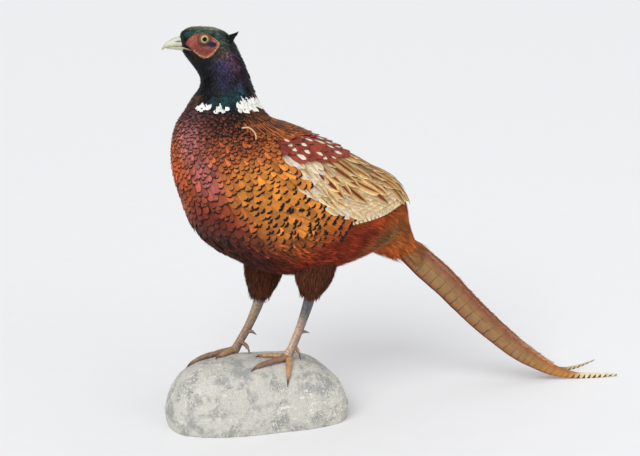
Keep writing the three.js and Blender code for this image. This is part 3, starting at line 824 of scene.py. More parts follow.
# Smooth silky vanes with a faint coppery sheen, each ending in a black edge.
copper_feather = feather_material("silky_copper_feather", "#120d0b", 0.5, 0.12)
for name, first, last in (("breast", 9.3, 11.7), ("flanks", 11.7, 18.3)):
    number, angle = root_rows(body, first, last, breast_pitch, jitter=0.17)
    degrees = degrees_from_back(angle)
    keep = (degrees > wing_line(number + 0.6) - 3) & (degrees < belly_line(number))
    keep &= (number < 17.3) | (degrees > 90)
    number, angle, degrees, count = kept(keep, number, angle)
    space = breast_pitch(number, angle)
    # Those along the wing's edge lie over it; those on the flank are longer and tipped by a spot.
    over_wing = np.clip(1 - (degrees - wing_line(number + 0.6)) / 9, 0, 1)
    over_wing *= smooth(number, 10.6, 11.4) * (1 + 1.1 * smooth(-number, -15.0, -14.0))
    flank = smooth(number, 12.2, 14.2) * np.clip(1.25 - np.abs(degrees - 94) / 36, 0, 1)
    vanes = lay_vanes(body, number, angle, space * 2.5, space * (0.6 + 0.06 * flank),
                      root=-2.6 + 2.0 * over_wing,
                      tip=rng.uniform(0.2, 0.9, count) + 2.6 * over_wing, round_from=0.6,
                      stray=0.16, ragged=0.05)
    ground = varied(plumage(vanes.tip_number, vanes.tip_angle), 0.12, count)
    shoulder = np.exp(-((vanes.tip_number - 10.9) / 0.9) ** 2 - ((degrees - 92) / 30) ** 2)
    dark = smooth(vanes.tip_number, 15.2, 16.8) * smooth(degrees, 118, 134)
    vanes.carry(ground=ground, core_colour=ground, core=-1.0,
                band=(0.09 + 0.22 * shoulder + 0.05 * rng.random(count)) * (1 - 0.97 * flank)
                * (1 - 0.5 * dark),
                spot=(0.08 + 0.1 * rng.random(count)) * (1 - 0.6 * dark)
                + flank * rng.uniform(0.13, 0.24, count) * (1 - 0.6 * dark))
    feather_piece(f"feathers_{name}", [vanes], copper_feather)


# The mantle's narrow streaked feathers end along a line of degrees and section numbers.
MANTLE_END = [(0, 13.0), (36, 12.8), (55, 12.5), (66, 12.2), (80, 11.9)]
MANTLE_LENGTH = 17 * MM
number, angle = root_rows(body, 9.4, 12.8, 4.0 * MM, closeness=1.0)
degrees = degrees_from_back(angle)
end = number + MANTLE_LENGTH / body.read(body.reach, number, angle)
keep = (degrees < wing_line(number + 0.7)) & (end < line_at(MANTLE_END, degrees))
number, angle, degrees, count = kept(keep, number, angle)
over = smooth(number, 10.2, 11.3)  # they rise over the scapulars' roots
mantle = lay_vanes(body, number, angle, MANTLE_LENGTH, 3.0 * MM, root=-2.2 + 4.6 * over,
                   tip=1.0 + 4.6 * over, round_from=0.45, stray=0.12, point=0.9)
ground = varied(plumage(mantle.tip_number, mantle.tip_angle), 0.16, count)
streak = np.array([0.16, 0.3, 0.38, 0.34, 0.22, 0.08, -0.05])
mantle.carry(ground=ground, core_colour="#170f0c",
             core=streak[None] * rng.uniform(0.5, 1.15, (count, 1)), band=0.02)
feather_piece("feathers_mantle", [mantle], copper_feather)


def neck_pitch(number, angle):
    return MM * (2.1 + 1.2 * smooth(number, 6, 9.5))


number, angle = root_rows(body, 4.6, 9.5, neck_pitch, closeness=0.9, jitter=0.3)
space = neck_pitch(number, angle)
count = len(number)
neck = lay_vanes(body, number, angle, space * rng.uniform(2.6, 3.6, count), space * 0.62,
                 root=-1.4, tip=rng.uniform(0.0, 1.0, count), round_from=0.5, stray=0.28,
                 columns=2, ragged=0.1)
ruffle = rough(neck.points[:, -1, 1], 14 * MM, 3)[:, None]
ground = plumage(neck.tip_number, neck.tip_angle) * np.clip(1 + 0.7 * ruffle, 0.4, 1.6)
neck.carry(ground=varied(ground, 0.16, count), core=-1.0, band=0.08 * rng.random(count))
# Neck and head feathers gleam like oiled metal, near black between their colours.
glossy_feather = feather_material("glossy_iridescent_feather", "#060608", 0.42, 0.35, 0.25)
feather_piece("feathers_neck", [neck], glossy_feather)

# The broken white ring: three patches on each side, as section numbers and degrees.
COLLAR = ((9.42, 10.05, 0, 76), (9.62, 9.95, 92, 110), (9.2, 9.6, 122, 146))
number, angle = root_rows(body, 8.0, 9.6, 3.8 * MM, jitter=0.2)
degrees = degrees_from_back(angle)
keep = np.zeros(len(number), bool)
middle = number + 0.42  # section number of a feather's middle
for low, high, first, last in COLLAR:
    keep |= (middle > low) & (middle < high) & (degrees > first) & (degrees < last)
number, angle, degrees, count = kept(keep, number, angle)
length = rng.uniform(11, 15, count) * (1 - 0.3 * (degrees > 85)) * MM  # shorter in front
collar = lay_vanes(body, number, angle, length, 3.2 * MM, root=-1.0,
                   tip=rng.uniform(1.2, 2.2, count), round_from=0.55, stray=0.18, ragged=0.2,
                   point=0.6)
white = varied(np.array([0.93, 0.93, 0.90]), 0.03, count)
collar.carry(ground=white, core_colour=white, core=-1.0)
# Chalky white with hardly any shine.
white_feather = feather_material("matt_white_feather", "#d8d4c6", 0.7)
feather_piece("feathers_collar", [collar], white_feather)

# Head feathers stop short of the bare face, whose outline seen square on is [x, z].
WATTLE_EDGE = np.array([
    (-81.5, 472), (-76, 479.5), (-69, 482.6), (-59, 484), (-51, 479.5), (-41.5, 471.5),
    (-46, 463), (-53, 456), (-61, 453.8), (-69.5, 459), (-76.5, 465.5),
]) * MM
straight = Form(straight_body, LAST)
EYE = np.array([-59.5, 9.6, 476.8]) * MM  # the left eye's centre, with y as its distance
EYE_RADIUS = 7.5 * MM


def inside(places, outline):
    """Which places x, z lie inside a closed outline."""
    x, z = places[..., 0], places[..., 1]
    found = np.zeros(x.shape, bool)
    for (x0, z0), (x1, z1) in zip(outline, np.roll(outline, -1, 0)):
        crosses = (z0 > z) != (z1 > z)
        found ^= crosses & (x < (x1 - x0) * (z - z0) / (z1 - z0 + 1e-12) + x0)
    return found


def head_pitch(number, angle):
    return MM * (1.35 + 0.2 * number)


BILL_ROOT = np.array([(-94, 474), (-86, 478), (-83.5, 471), (-82, 463), (-90, 462)]) * MM
number, angle = root_rows(body, 0.12, 4.9, head_pitch, closeness=0.95, jitter=0.22)
seen_square = straight.read(straight.points, number + 0.25, angle)[..., [0, 2]]
bare = WATTLE_EDGE.mean(0) + (WATTLE_EDGE - WATTLE_EDGE.mean(0)) * 0.95
keep = ~inside(seen_square, bare) & ~inside(seen_square, BILL_ROOT)
number, angle, degrees, count = kept(keep, number, angle)
size = head_pitch(number, angle)
head = lay_vanes(body, number, angle, size * 3.0, size * 0.6, root=-0.9,
                 tip=rng.uniform(0.0, 0.6, count), round_from=0.45, stray=0.16, columns=2,
                 stem=(0,))
ground = varied(plumage(head.tip_number, head.tip_angle), 0.22, count)
head.carry(ground=ground, core=-1.0)
feather_piece("feathers_head", [head], glossy_feather)


# ---------------------------------------------------------------- plumes
# Loose hair-like feathers, whose barbs don't hook together: the belly, the vent, the rump down
# to the tail's root, and the thighs, which end in ragged tips over the heels. Soft and matt.
def plume_material(name):
    """Streaks run along each lock, from its ground colour to darker and paler."""
    material, node = new_material(name)
    grain = node("UVMap", uv_map="Lie")
    ground = node("Attribute", attribute_name="ground")
    drawn = node("Mapping", {"Vector": grain, "Scale": (2600.0, 60.0, 1.0)})
    strands = node("TexNoise", (drawn, 1.0, 2.0))
    shade = node("MapRange", (strands, 0.3, 0.7, 0.65, 1.3))
    finish_material(node, ground, shade, (strands, 0.3, 0.0004), Roughness=0.75,
                    Specular_IOR_Level=0.12)
    return material


# Soft and matt, with fine darker and paler strands, like fur.
soft_plume = plume_material("soft_hairy_plume")


PLUME_JITTER = 0.35
# The belly's broad dark feathers, then the vent's and the rump's thin hair-like ones.
number, angle = root_rows(body, 14.4, 18.6, 3.2 * MM, 1.0, PLUME_JITTER)
degrees = degrees_from_back(angle)
keep = (degrees > belly_line(number) - 6) & (degrees > 110)
number, angle, degrees, count = kept(keep, number, angle)
belly = lay_vanes(body, number, angle, rng.uniform(14, 22, count) * MM,
                  rng.uniform(1.4, 2.6, count) * MM, root=-2.4, tip=rng.uniform(-0.4, 1.6, count),
                  round_from=0.4, point=0.9, columns=2, stray=0.2, stem=(0,), ragged=0.15)
belly.carry(ground=varied(plumage(belly.tip_number, belly.tip_angle), 0.3, count))
number, angle = root_rows(body, 16.6, 22.95, 2.0 * MM, 1.0, PLUME_JITTER)
degrees = degrees_from_back(angle)
keep = (degrees > wing_line(number) - 6) | (number > 19.6)
number, angle, degrees, count = kept(keep, number, angle)
under = smooth(degrees, 110, 160)
plumes = lay_vanes(body, number, angle, rng.uniform(14, 26, count) * MM,
                   rng.uniform(0.35, 0.75, count) * MM, root=-2.4,
                   tip=rng.uniform(-0.8, 1.3 + 2.4 * under, count), round_from=0.3, point=1.1,
                   columns=2, stray=0.22, stem=(0,), ragged=0.2)
ground = plumage(plumes.tip_number, plumes.tip_angle)
tuft_tone = 1 + 0.35 * rough(plumes.points[:, -1, 1], 12 * MM, 3)[:, None]
plumes.carry(ground=varied(ground * tuft_tone, 0.14, count))
feather_piece("plumes_belly", [belly], soft_plume)
feather_piece("plumes_vent_and_rump", [plumes], soft_plume)

batches = []
for name, side in SIDES.items():
    form = thighs[name]
    number, angle = root_rows(form, 0.1, 2.7, 1.5 * MM, 1.2, PLUME_JITTER)
    count = len(number)
    low_down = smooth(number, 1.6, 2.7)
    locks = lay_vanes(form, number, angle, rng.uniform(13, 22, count) * (1 - 0.5 * low_down) * MM,
                      rng.uniform(0.4, 0.85, count) * MM, root=-2.2,
                      tip=rng.uniform(-0.4, 1.8, count) + rng.uniform(0.5, 6.0, count) * low_down,
                      round_from=0.3, point=1.2, columns=2, stray=0.28, stem=(0,), ragged=0.2)
    behind = smooth(np.cos(angle - 1.5 * np.pi), 0.2, 0.9)
    brown = mixed(low_down * 0.5, "#4c2a1a", "#38231a")
    brown = mixed((rng.random(count) < 0.16) * 0.5, brown, "#6e3222")
    brown = mixed((rng.random(count) < 0.5) * behind * low_down * 0.7, brown, "#b08a5c")
    locks.carry(ground=varied(brown, 0.22, count))
    batches.append(locks)
feather_piece("plumes_thighs", batches, soft_plume)


# ---------------------------------------------------------------- wings
# The folded wings. Long flight feathers close like a fan along the lower edge; over their roots
# lie streaked coverts and tertials, then pale coverts, and on top the maroon scapulars with
# cream hearts. All are keratin vanes on strong shafts, silky and flat.
def wing_places(start, stop, pitch, closeness, lie, length, low, high, jitter):
    """Roots on both wings whose tips end between two lines of section numbers and degrees."""
    number, angle = root_rows(body, start, stop, pitch, closeness, jitter)
    left = angle < np.pi
    number, angle = number[left], angle[left]
    tip_number = number + length * np.cos(lie) / body.read(body.reach, number, angle)
    tip = np.degrees(angle + length * np.sin(lie) / body.read(body.girth, number, angle))
    keep = (tip > line_at(low, tip_number)) & (tip < line_at(high, tip_number))
    keep &= (tip_number > low[0][0]) & (tip_number < low[-1][0])
    number, angle = number[keep], angle[keep]
    return np.tile(number, 2), np.concatenate([angle, 2 * np.pi - angle])


FLIGHT_TOP = [(14.5, 56), (15.6, 56), (16.6, 57), (17.6, 51), (18.6, 41), (19.6, 27), (20.8, 9)]
FLIGHT_COUNT = 22
FLIGHT_START = 14.2  # section number of the outermost root


def quill_material(name, mark, spacing, thick, slant, fade, edge_painted_shadow):
    """A long stiff vane's nodes: dark bars, at a spacing and slant in metres, that are thick (a
    share of the spacing) at the first of two places across the vane and fade to the second."""
    material, node = new_material(name)
    shape = node("UVMap", uv_map="Vane")
    lie = node("UVMap", uv_map="Lie")
    ground = node("Attribute", attribute_name="ground")
    bold = node("Attribute", attribute_name="band")
    across = node("SeparateXYZ", [shape])
    along = node("SeparateXYZ", [lie])
    away = node("Math", [across], "ABSOLUTE")
    wander = node("TexNoise", (lie, 160.0, 2.0))
    frayed = node("TexNoise", (lie, 900.0, 2.0))
    place = node("Math", (across, -slant, along.outputs["Y"]), "MULTIPLY_ADD")
    place = node("Math", (wander, 0.3 * spacing, place), "MULTIPLY_ADD")
    place = node("Math", (frayed, 0.05 * spacing, place), "MULTIPLY_ADD")
    step = node("Math", (place, 1 / spacing), "MULTIPLY")
    turn = node("Math", [step], "FRACT")
    width = node("MapRange", (across, fade[0], fade[1], thick, 0.0))
    width = node("Math", (width, bold.outputs["Fac"]), "MULTIPLY")
    left = node("Math", (width, turn), "SUBTRACT")
    bar = node("MapRange", (left, -0.03, 0.05))
    barbs, shade = barbed_shade(node, lie, away, 1.2 * MM, 6.0 * MM, 0.05, (120.0, 4.0),
                                (0.78, 1.2), (0.015, 0.05, 0.7))
    # Painted shadow: each vane's edges are darkened where the next feather overlaps it.
    painted_edge_shadow = node("MapRange", (away, 0.9, 0.96, 1.0, edge_painted_shadow))
    shade = node("Math", (shade, painted_edge_shadow), "MULTIPLY")
    barred = node("Mix", (bar, ground, linear(mark)), data_type="RGBA")
    finish_material(node, barred, shade, (barbs, 0.25, 0.0004), Roughness=0.58)
    return material


order = np.tile(np.linspace(0, 1, FLIGHT_COUNT), 2)  # 0 is the outermost, lowest feather
down = np.repeat([1, -1], FLIGHT_COUNT)


def flight_path(share):
    """Each flight feather keeps its share of the way between the fan's two edges."""
    end = 19.2 + 1.5 * order
    number = FLIGHT_START + 0.9 * order + (end - FLIGHT_START - 0.9 * order) * share
    low = wing_line(number) - 1.5
    degrees = low + (line_at(FLIGHT_TOP, number) - low) * order
    return number, np.where(down > 0, np.radians(degrees), 2 * np.pi - np.radians(degrees))


root_number, root_angle = flight_path(0)
flight = lay_vanes(body, root_number, root_angle, 0.1, 6.0 * MM, root=0.4 + 1.2 * order,
                   tip=1.6 + 2.4 * order, round_from=0.75, stem=tuple(np.linspace(0, 0.96, 12)),
                   columns=6, camber=0.2, path=flight_path, point=0.7)
outer = np.clip(1 - order / 0.35, 0, 1)[:, None, None]
web = np.linspace(-1, 1, 7)  # the web toward the wing's lower edge is the pale one
both_webs = mixed(smooth(web, -0.7, 0.4), "#a0764a", "#dcc296")[None, None]
both_webs = both_webs * (1 + 0.07 * rng.standard_normal((len(order), 1, 1, 1)))
flight.grain = flight.lie + np.linspace(0, 0.07, len(order))[:, None, None, None]
flight.carry(ground=mixed(outer, both_webs, "#e2cca4"), band=0.04 + 0.96 * outer)
# Buff webs with soft brown bars on the pale outer ones, each edge darkened as painted shadow.
barred_quill = quill_material("silky_barred_quill", "#75502f", 4.4 * MM, 0.34, 2.4 * MM, (1, -1),
                              0.4)
flight_piece = feather_piece("feathers_flight", [flight], barred_quill)
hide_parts("wing_left", "wing_right")


def long_coverts(rows, pitch, length, half, lie, low, high, lifts):
    """Rows of long loose coverts whose tips end between two lines of degrees."""
    number, angle = wing_places(rows[0], rows[1], pitch, rows[2], lie, length, low, high, 0.16)
    count = len(number)
    return lay_vanes(body, number, angle, length * rng.uniform(0.86, 1.12, count), half,
                     lie=lie + 0.07 * rng.standard_normal(count),
                     root=lifts[0] - 3.4 * smooth(-number, -14.2, -12.6),
                     tip=rng.uniform(*lifts[1:], count), round_from=0.66, point=0.8,
                     stem=(0, 0.3, 0.6, 0.85), columns=6, camber=0.22, ragged=0.05)


streaked = long_coverts((12.9, 18.6, 2.5), 9.4 * MM, 58 * MM, 7.0 * MM, 0.24,
                        [(15.3, 5), (20.5, 5)],
                        [(15.3, 46), (16.0, 66), (16.9, 69), (17.8, 62), (18.8, 52), (19.7, 38),
                         (20.5, 18)], (1.4, 4.8, 5.8))
count = len(streaked.number)
high_up = smooth(62 - degrees_from_back(streaked.tip_angle), 0, 40)[:, None]
streak = np.array([-0.1, 0.1, 0.3, 0.42, 0.5, 0.42, 0.2, -0.1, -0.2])
web = np.abs(np.linspace(-1, 1, 7)) ** 1.4
buff = mixed(web, "#9c6c34", "#dcc392")[None, None]
buff = buff * (1 + 0.08 * rng.standard_normal((count, 1, 1, 1)))
streak_tone = mixed(high_up[:, 0] * 0.6, "#70341f", "#9a6a3a")
streaked.carry(ground=buff, core_colour=varied(streak_tone, 0.12, count),
               core=streak[None] * rng.uniform(0.4, 1.05, (count, 1)) - 0.1 * high_up)
# Dry buff vanes, matt beside the breast's, with a brown streak down the middle.
buff_feather = feather_material("silky_buff_feather", "#3a2a20", 0.6)
feather_piece("feathers_tertials", [streaked], buff_feather)

SCAPULAR_LOW = [(11.9, 66), (13.3, 71), (14.45, 63), (15.15, 43), (15.7, 14)]
coverts = long_coverts((11.6, 17.0, 1.9), 6.6 * MM, 42 * MM, 5.2 * MM, 0.2,
                       [(13.9, 64), (14.1, 66), (14.45, 58), (15.15, 44), (15.7, 50), (17.2, 66),
                        (18.2, 76)],
                       [(13.9, 75), (15.2, 81), (16.8, 80), (18.2, 80)], (1.0, 3.4, 4.4))
count = len(coverts.number)
pale = mixed(np.abs(np.linspace(-1, 1, 7)), "#b08448", "#e6d2aa")[None, None]
front_grey = smooth(-coverts.tip_number, -15.2, -14.0)[:, None, None]
grey_share = np.clip(rng.normal(0.35, 0.35, (count, 1, 1)) + 0.5 * front_grey, 0, 1)
coverts.carry(ground=mixed(grey_share, pale, "#d9d0c4")
              * (1 + 0.07 * rng.standard_normal((count, 1, 1, 1))),
              core_colour="#8c5c34",
              core=np.array([0, 0, 0.04, 0.12, 0.18, 0.12, 0.0, -0.1, -0.2])[None]
              * rng.uniform(-0.6, 1.2, (count, 1)))
feather_piece("feathers_coverts", [coverts], buff_feather)

number, angle = wing_places(10.9, 15.2, 13.5 * MM, 0.8, 0.1, 27 * MM,
                            [(12.5, 20), (12.8, 10), (13.4, 4), (15.7, 3)], SCAPULAR_LOW, 0.12)
count = len(number)
scapulars = lay_vanes(body, number, angle, rng.uniform(25, 30, count) * MM, 9.2 * MM,
                      lie=0.1 + 0.1 * rng.standard_normal(count), stem=(0, 0.35, 0.7),
                      root=0.8 - 2.6 * smooth(-number, -13.0, -11.6),
                      tip=rng.uniform(6.0, 6.6, count), round_from=0.58, columns=6, camber=0.2)
maroon = varied("#8a3c2c", 0.08, count)
heart = np.array([-0.3, -0.3, 0.02, 0.2, 0.33, 0.14, -0.2, -0.3])
shown = rng.random((count, 1)) < 0.66
scapulars.carry(ground=maroon, core_colour="#ebe2c8", rim=0.07,
                core=np.where(shown, heart[None] * rng.uniform(0.5, 1.1, (count, 1)), -0.3))
feather_piece("feathers_scapulars", [scapulars], copper_feather)

# One pale feather hooks out from under each shoulder at the breast's upper corner.
HOOK = np.array([(10.98, 85), (10.96, 78), (11.2, 74.5), (11.55, 76), (11.85, 80)])
side_sign = np.array([1, -1])


def hook_path(share):
    step = share * (len(HOOK) - 1)
    number = np.full(2, np.interp(step, range(len(HOOK)), HOOK[:, 0]))
    turned = np.radians(np.interp(step, range(len(HOOK)), HOOK[:, 1]))
    return number, np.where(side_sign > 0, turned, 2 * np.pi - turned)


hooks = lay_vanes(body, *hook_path(0), 0.03, 1.5 * MM, root=0.8, tip=3.4, round_from=0.7,
                  path=hook_path, stem=(0, 0.2, 0.4, 0.6, 0.8), point=0.8)
hooks.carry(ground="#9c6a44", core_colour="#dcc8a4", core=0.34)
feather_piece("feathers_shoulder", [hooks], buff_feather)


# ---------------------------------------------------------------- tail
# Eighteen stepped tail feathers in two leaning halves. The longest pair runs to the floor and
# parts at the tips; shorter ones lie under and outside them, and loose mauve-brown barbs fringe
# the upper edges. Stiff keratin, buff with narrow dark bars.
TAIL_LINES = {  # x, distance from the middle, z, from root to tip
    "left": [(194, 7.6, 205), (215, 7.6, 186), (254, 7.8, 150), (296, 7.3, 106), (350, 6.4, 56.5),
             (384, 7, 31.5), (415, 9.5, 13), (443, 15, 4.8), (471, 22, 3.4), (499, 30, 3.4)],
    "right": [(194, 7.6, 205), (215, 7.6, 186), (254, 7.8, 150), (296, 7.3, 106),
              (350, 6.2, 57), (382, 5.8, 32), (409, 5, 14), (434, 4.5, 7), (460, 4, 8.2),
              (485, 3, 14.6)],
}
TAIL_WIDTH = (27.5, 37.5, 40, 37.5, 30.5, 23, 15, 9, 7, 2.5)  # from root to tip
TAIL_FIT = {"left": (1, 0), "right": (0.9, 2)}  # the far half is narrower and a little higher
TAIL_LEAN = math.radians(24)
TAIL_SHARES = (1.0, 0.74, 0.62, 0.52, 0.43, 0.35, 0.28, 0.22, 0.17)  # each feather's length
TAIL_ROWS = 96


def tail_frame(name, share):
    """Middle line points, directions up the blade and out from it at shares of its length."""
    side = SIDES[name]
    line = np.array(TAIL_LINES[name], float) * (1, side, 1)
    fine = through(line, share * (len(line) - 1)) * MM
    ahead = unit(np.gradient(fine, axis=0))
    upward = np.array([0, -side * math.sin(TAIL_LEAN), math.cos(TAIL_LEAN)])
    out = unit(np.cross(ahead, upward))
    up = unit(np.cross(out, ahead))
    return fine, up, -side * out


def tail_half(share):
    width = np.array(TAIL_WIDTH)[:, None]
    return through(width, share * (len(TAIL_WIDTH) - 1))[:, 0] / 2 * MM


tail_batches = []
for name, side in SIDES.items():
    narrow, raised = TAIL_FIT[name]
    for depth_in, reach in enumerate(TAIL_SHARES):
        along = np.linspace(0, 1, TAIL_ROWS)
        share = along * reach
        line, up, out = tail_frame(name, share)
        half = tail_half(share) * narrow
        line = line + up * (1 - smooth(share, 0.6, 0.8))[:, None] * raised * MM
        end = np.clip((1 - along) / 0.12, 0, 1) ** 0.5 if depth_in else 1
        width = half * end * (1 if depth_in == 0 else 0.8)
        lower = (0 if depth_in == 0 else 0.24) * half
        spine = line - up * np.reshape(lower, (-1, 1)) - out * depth_in * 0.42 * MM
        lift = np.full(TAIL_ROWS, 1.2)
        vane = vanes_on(spine[None], out[None], along, 0.9, 1.0, lift[None],
                        np.maximum(width, 0.4 * MM), 1.2, 8, 0.0, 1.0)
        upward = np.sign((np.cross(np.gradient(spine, axis=0), out) * up).sum())
        web = np.linspace(-1, 1, 9) * upward
        vane.vane[..., 0] = web  # -1 is the lower edge on either half
        vane.grain = vane.lie  # so that the bars of feathers in one stack agree
        at, web = share[:, None], web[None]
        gold, pale_end = smooth(at, 0.48, 0.72), smooth(at, 0.74, 0.84)
        middle, upper = mixed(gold, "#967040", "#b57a34"), mixed(gold, "#8c5034", "#9c5a2c")
        tone = mixed(pale_end, mixed(smooth(web, -0.05, 0.7), middle, upper), "#dccba6")
        tone = mixed(smooth(-web, 0.7, 0.95) * (1 - pale_end), tone, "#84492a")
        tone = mixed(smooth(-at, -0.12, 0.0) * 0.5, tone, "#87552e")
        vane.carry(ground=tone[None], band=(1.0 + 5.0 * smooth(share, 0.7, 0.82))[None])
        vane.number = np.array([float(depth_in)])
        vane.angle = np.array([0.0 if side < 0 else 3.0])
        tail_batches.append(vane)
# Bars reach in from the lower edge and die out past the shaft; they grow bold on the pale ends.
tail_quill = quill_material("silky_barred_tail_quill", "#3e2c1e", 10.6 * MM, 0.12, 6.0 * MM,
                            (-1.0, 0.5), 1.0)
tail_piece = feather_piece("feathers_tail", tail_batches, tail_quill)
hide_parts("tail_left", "tail_right")

# Loose barbs along the upper edge, and long hair-like coverts from the rump over the tail's root.
HAIR = {  # count, span along the tail, level on the vane, length, splay, lift, width, pale tips
    "upper_edge": (2600, (0.04, 0.64), (0.6, 0.98), (4, 8), 0.2, 0.6, 1.0, 0.7),
    "root": (1000, (-0.02, 0.06), (-0.6, 1.0), (9, 26), 0.04, 2.8, 1.6, 0.0),
}
for hair, (count, span, level, lengths, splay, off, wide, pale) in HAIR.items():
    batches = []
    for name, side in SIDES.items():
        rank = np.sort(rng.uniform(*span, count))
        line, up, out = tail_frame(name, np.clip(rank, 0, 1))
        ahead = unit(np.gradient(line, axis=0) + 1e-9 * up)
        level_here = rng.uniform(*level, (count, 1))
        half = tail_half(np.clip(rank, 0, 1))[:, None]
        start = line + up * half * level_here + out * off * MM
        start = start + ahead * np.minimum(rank, 0)[:, None] * 0.4
        reach = rng.uniform(*lengths, (count, 1)) * MM
        along = np.array([0, 0.35, 0.7, 1.0])
        toward = unit(ahead + up * np.sign(level_here) * splay * rng.uniform(0.2, 1.8, (count, 1))
                      + up * 0.1 * rng.standard_normal((count, 1)))
        away = out * rng.uniform(-0.3, 0.5, (count, 1)) * 0.16
        spine = start[:, None] + (toward + away)[:, None] * (reach * along)[..., None]
        width = np.array([0.7, 1.0, 0.7, 0.15])
        locks = vanes_on(spine, np.repeat(out[:, None], 4, 1), along, 0.5,
                         rng.uniform(0.14, 0.3, count) * MM * wide, np.full((count, 4), 0.8),
                         width, 0.1, 2, 0.1, 1.0)
        locks.number, locks.angle = rank, np.full(count, 1.0 if side < 0 else 4.0) + 0.1 * rank
        tone = mixed(smooth(rank, 0.4, 0.6), "#8c5238", "#a86c3e")
        if hair == "root":
            tone = mixed(smooth(level_here[:, 0], -0.6, 0.7), "#946a40", "#8c5434")
        tone = mixed(pale * along[None, :, None], tone[:, None, None], "#cdaa96")
        locks.carry(ground=tone * (1 + 0.14 * rng.standard_normal((count, 1, 1, 1))))
        batches.append(locks)
    feather_piece(f"plumes_tail_{hair}", batches, soft_plume)


# ---------------------------------------------------------------- bill
# The upper bill hooks down over the lower one; a swollen flap half covers each nostril. Horn
# over bone, pale greenish cream, smooth, with a soft waxy shine.
UPPER_BILL = [
    (-80, 479.5, -77, 466.2, 6.2, -.2), (-86, 479.2, -84, 466.2, 5.6, -.25),
    (-95.5, 476.6, -94, 466.2, 4.4, -.3), (-103.5, 471.8, -102.5, 465.6, 2.9, -.2),
    (-107.6, 467, -106.8, 464.2, 1.5, 0), (-109.4, 463.2, -108.8, 462.6, .5, 0),
]
LOWER_BILL = [
    (-77, 467.2, -78, 460.2, 5.6, .2), (-86, 467.2, -86, 462.0, 4.7, .25),
    (-95, 467.0, -95, 463.4, 3.6, .25), (-103.5, 466.0, -103.5, 464.0, 1.8, 0),
]


def mound(x, z, middle, size):
    """A smooth mound seen square on, 1 at its middle [x, z], in millimetres."""
    return np.exp(-((x - middle[0]) / size[0]) ** 2 - ((z - middle[1]) / size[1]) ** 2)


def horn_material(name, roughness):
    """Horn's nodes: its ground colour, faint growth streaks and a waxy coat."""
    material, node = new_material(name)
    ground = node("Attribute", attribute_name="ground")
    place = node("TexCoord").outputs["Object"]
    long = node("Mapping", {"Vector": place, "Scale": (0.3, 1.0, 1.0)})
    streaks = node("TexNoise", (long, 700.0, 4.0))
    clouds = node("TexNoise", (place, 160.0, 2.0))
    both = node("Math", (streaks, clouds), "ADD")
    shade = node("MapRange", (both, 0.7, 1.3, 0.8, 1.12))
    finish_material(node, ground, shade, (streaks, 0.15, 0.0003), Roughness=roughness, IOR=1.55)
    return material


# Pale greenish cream horn with cloudy streaks and a soft waxy highlight.
cream_horn = horn_material("cream_bill_horn", 0.42)
for part, sections in {"upper": UPPER_BILL, "lower": LOWER_BILL}.items():
    grid = section_grid(sections, 120, 96)
    normals = Form(grid, len(sections) - 1).normals
    x, y, z = np.moveaxis(grid / MM, -1, 0)
    swell = 0.02 * rough(grid.reshape(-1, 3), 0.004, 3).reshape(x.shape)
    colour = mixed(smooth(x, -92, -80), "#c3c5ad", "#d0cfbe")
    if part == "upper":
        on_side = smooth(np.abs(y), 1.5, 3.0)
        flap = mound(x, z, (-87.4, 475.9), (3.4, 2.2)) * on_side
        slit = mound(x, z, (-89.4, 473.2), (3.2, 0.6)) * on_side
        edge = np.exp(-((z - 467.2 + 0.05 * (x + 90)) / 0.35) ** 2) * on_side
        swell += 0.9 * flap - 1.1 * slit - 0.25 * edge
        colour = mixed(0.75 * smooth(-z, -469.5, -465.5), colour, "#a99d78")
        colour = mixed(0.5 * smooth(z - 0.35 * x, 508, 511), colour, "#a7ab8c")
        # Painted shade: the nostril's slit is darkened as the shade inside the opening.
        colour = mixed(np.clip(1.3 * slit, 0, 0.9), colour, "#4c4636")
        colour = mixed(0.6 * smooth(-x, 104, 109), colour, "#b5b391")
    else:
        # Painted shade: the lower bill is darker all over, under the overhanging upper bill.
        colour = mixed(0.6 + 0 * x, colour, "#b3b193")
    solid = turn_head(grid + normals * (swell * MM)[..., None])
    bill_half = new_object(f"bill_{part}_horn", *closed_tubes([solid]), cream_horn)
    set_colours(bill_half, "ground", colour)
    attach(bill_half, "root")
    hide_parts(f"bill_{part}")


# ---------------------------------------------------------------- face
# Bare red skin round each eye, set with fine papillae and drawn up into a pale lid over a glass
# eye. Velvety violet feathers lie under the eye, and a pointed black tuft stands over each ear.
FACE_COLS, LID_ROWS, FACE_ROWS = 240, 14, 52
# The lid's profile: distances from the eye's axis and from the head's middle, in millimetres.
LID = [(4.5, 14.7), (4.6, 15.5), (4.9, 15.95), (5.4, 15.95), (6.2, 15.3), (7.4, 14.1)]
LID_END = LID[-1][0] * MM
EYE_PLACE = EYE * (1, -1, 1)
PAPILLA_PITCH = 1.5 * MM

head_part = straight_body[:8 * ROWS_TO_SECTION]
body_side = BVHTree.FromPolygons(head_part.reshape(-1, 3).tolist(),
                                 grid_faces(len(head_part), straight.cols).tolist())


def face_depth(x, z):
    """How far the head's side stands out from its middle at x, z, in metres."""
    depth = []
    for place in zip(x.ravel(), z.ravel()):
        hit = body_side.ray_cast(Vector((place[0], -0.1, place[1])), Vector((0, 1, 0)))[0]
        depth.append(0.0 if hit is None else -hit.y)
    return np.array(depth).reshape(x.shape)


def mirror(points, side):
    """What is made on the left side, put on either side and turned with the head."""
    return turn_head(points * (1, -side, 1))


# Rings of points from the eye out to the wattle's edge, which is read as bearings from the eye.
turn = np.linspace(0, 2 * np.pi, FACE_COLS, endpoint=False)
smooth_edge = through(np.concatenate([WATTLE_EDGE] * 3),
                      len(WATTLE_EDGE) * (1 + np.linspace(0, 1, 400, endpoint=False)))
bearing = np.arctan2(smooth_edge[:, 1] - EYE[2], smooth_edge[:, 0] - EYE[0]) % (2 * np.pi)
far = np.hypot(smooth_edge[:, 1] - EYE[2], smooth_edge[:, 0] - EYE[0])
order = np.argsort(bearing)
edge = np.interp(turn, bearing[order], far[order], period=2 * np.pi)

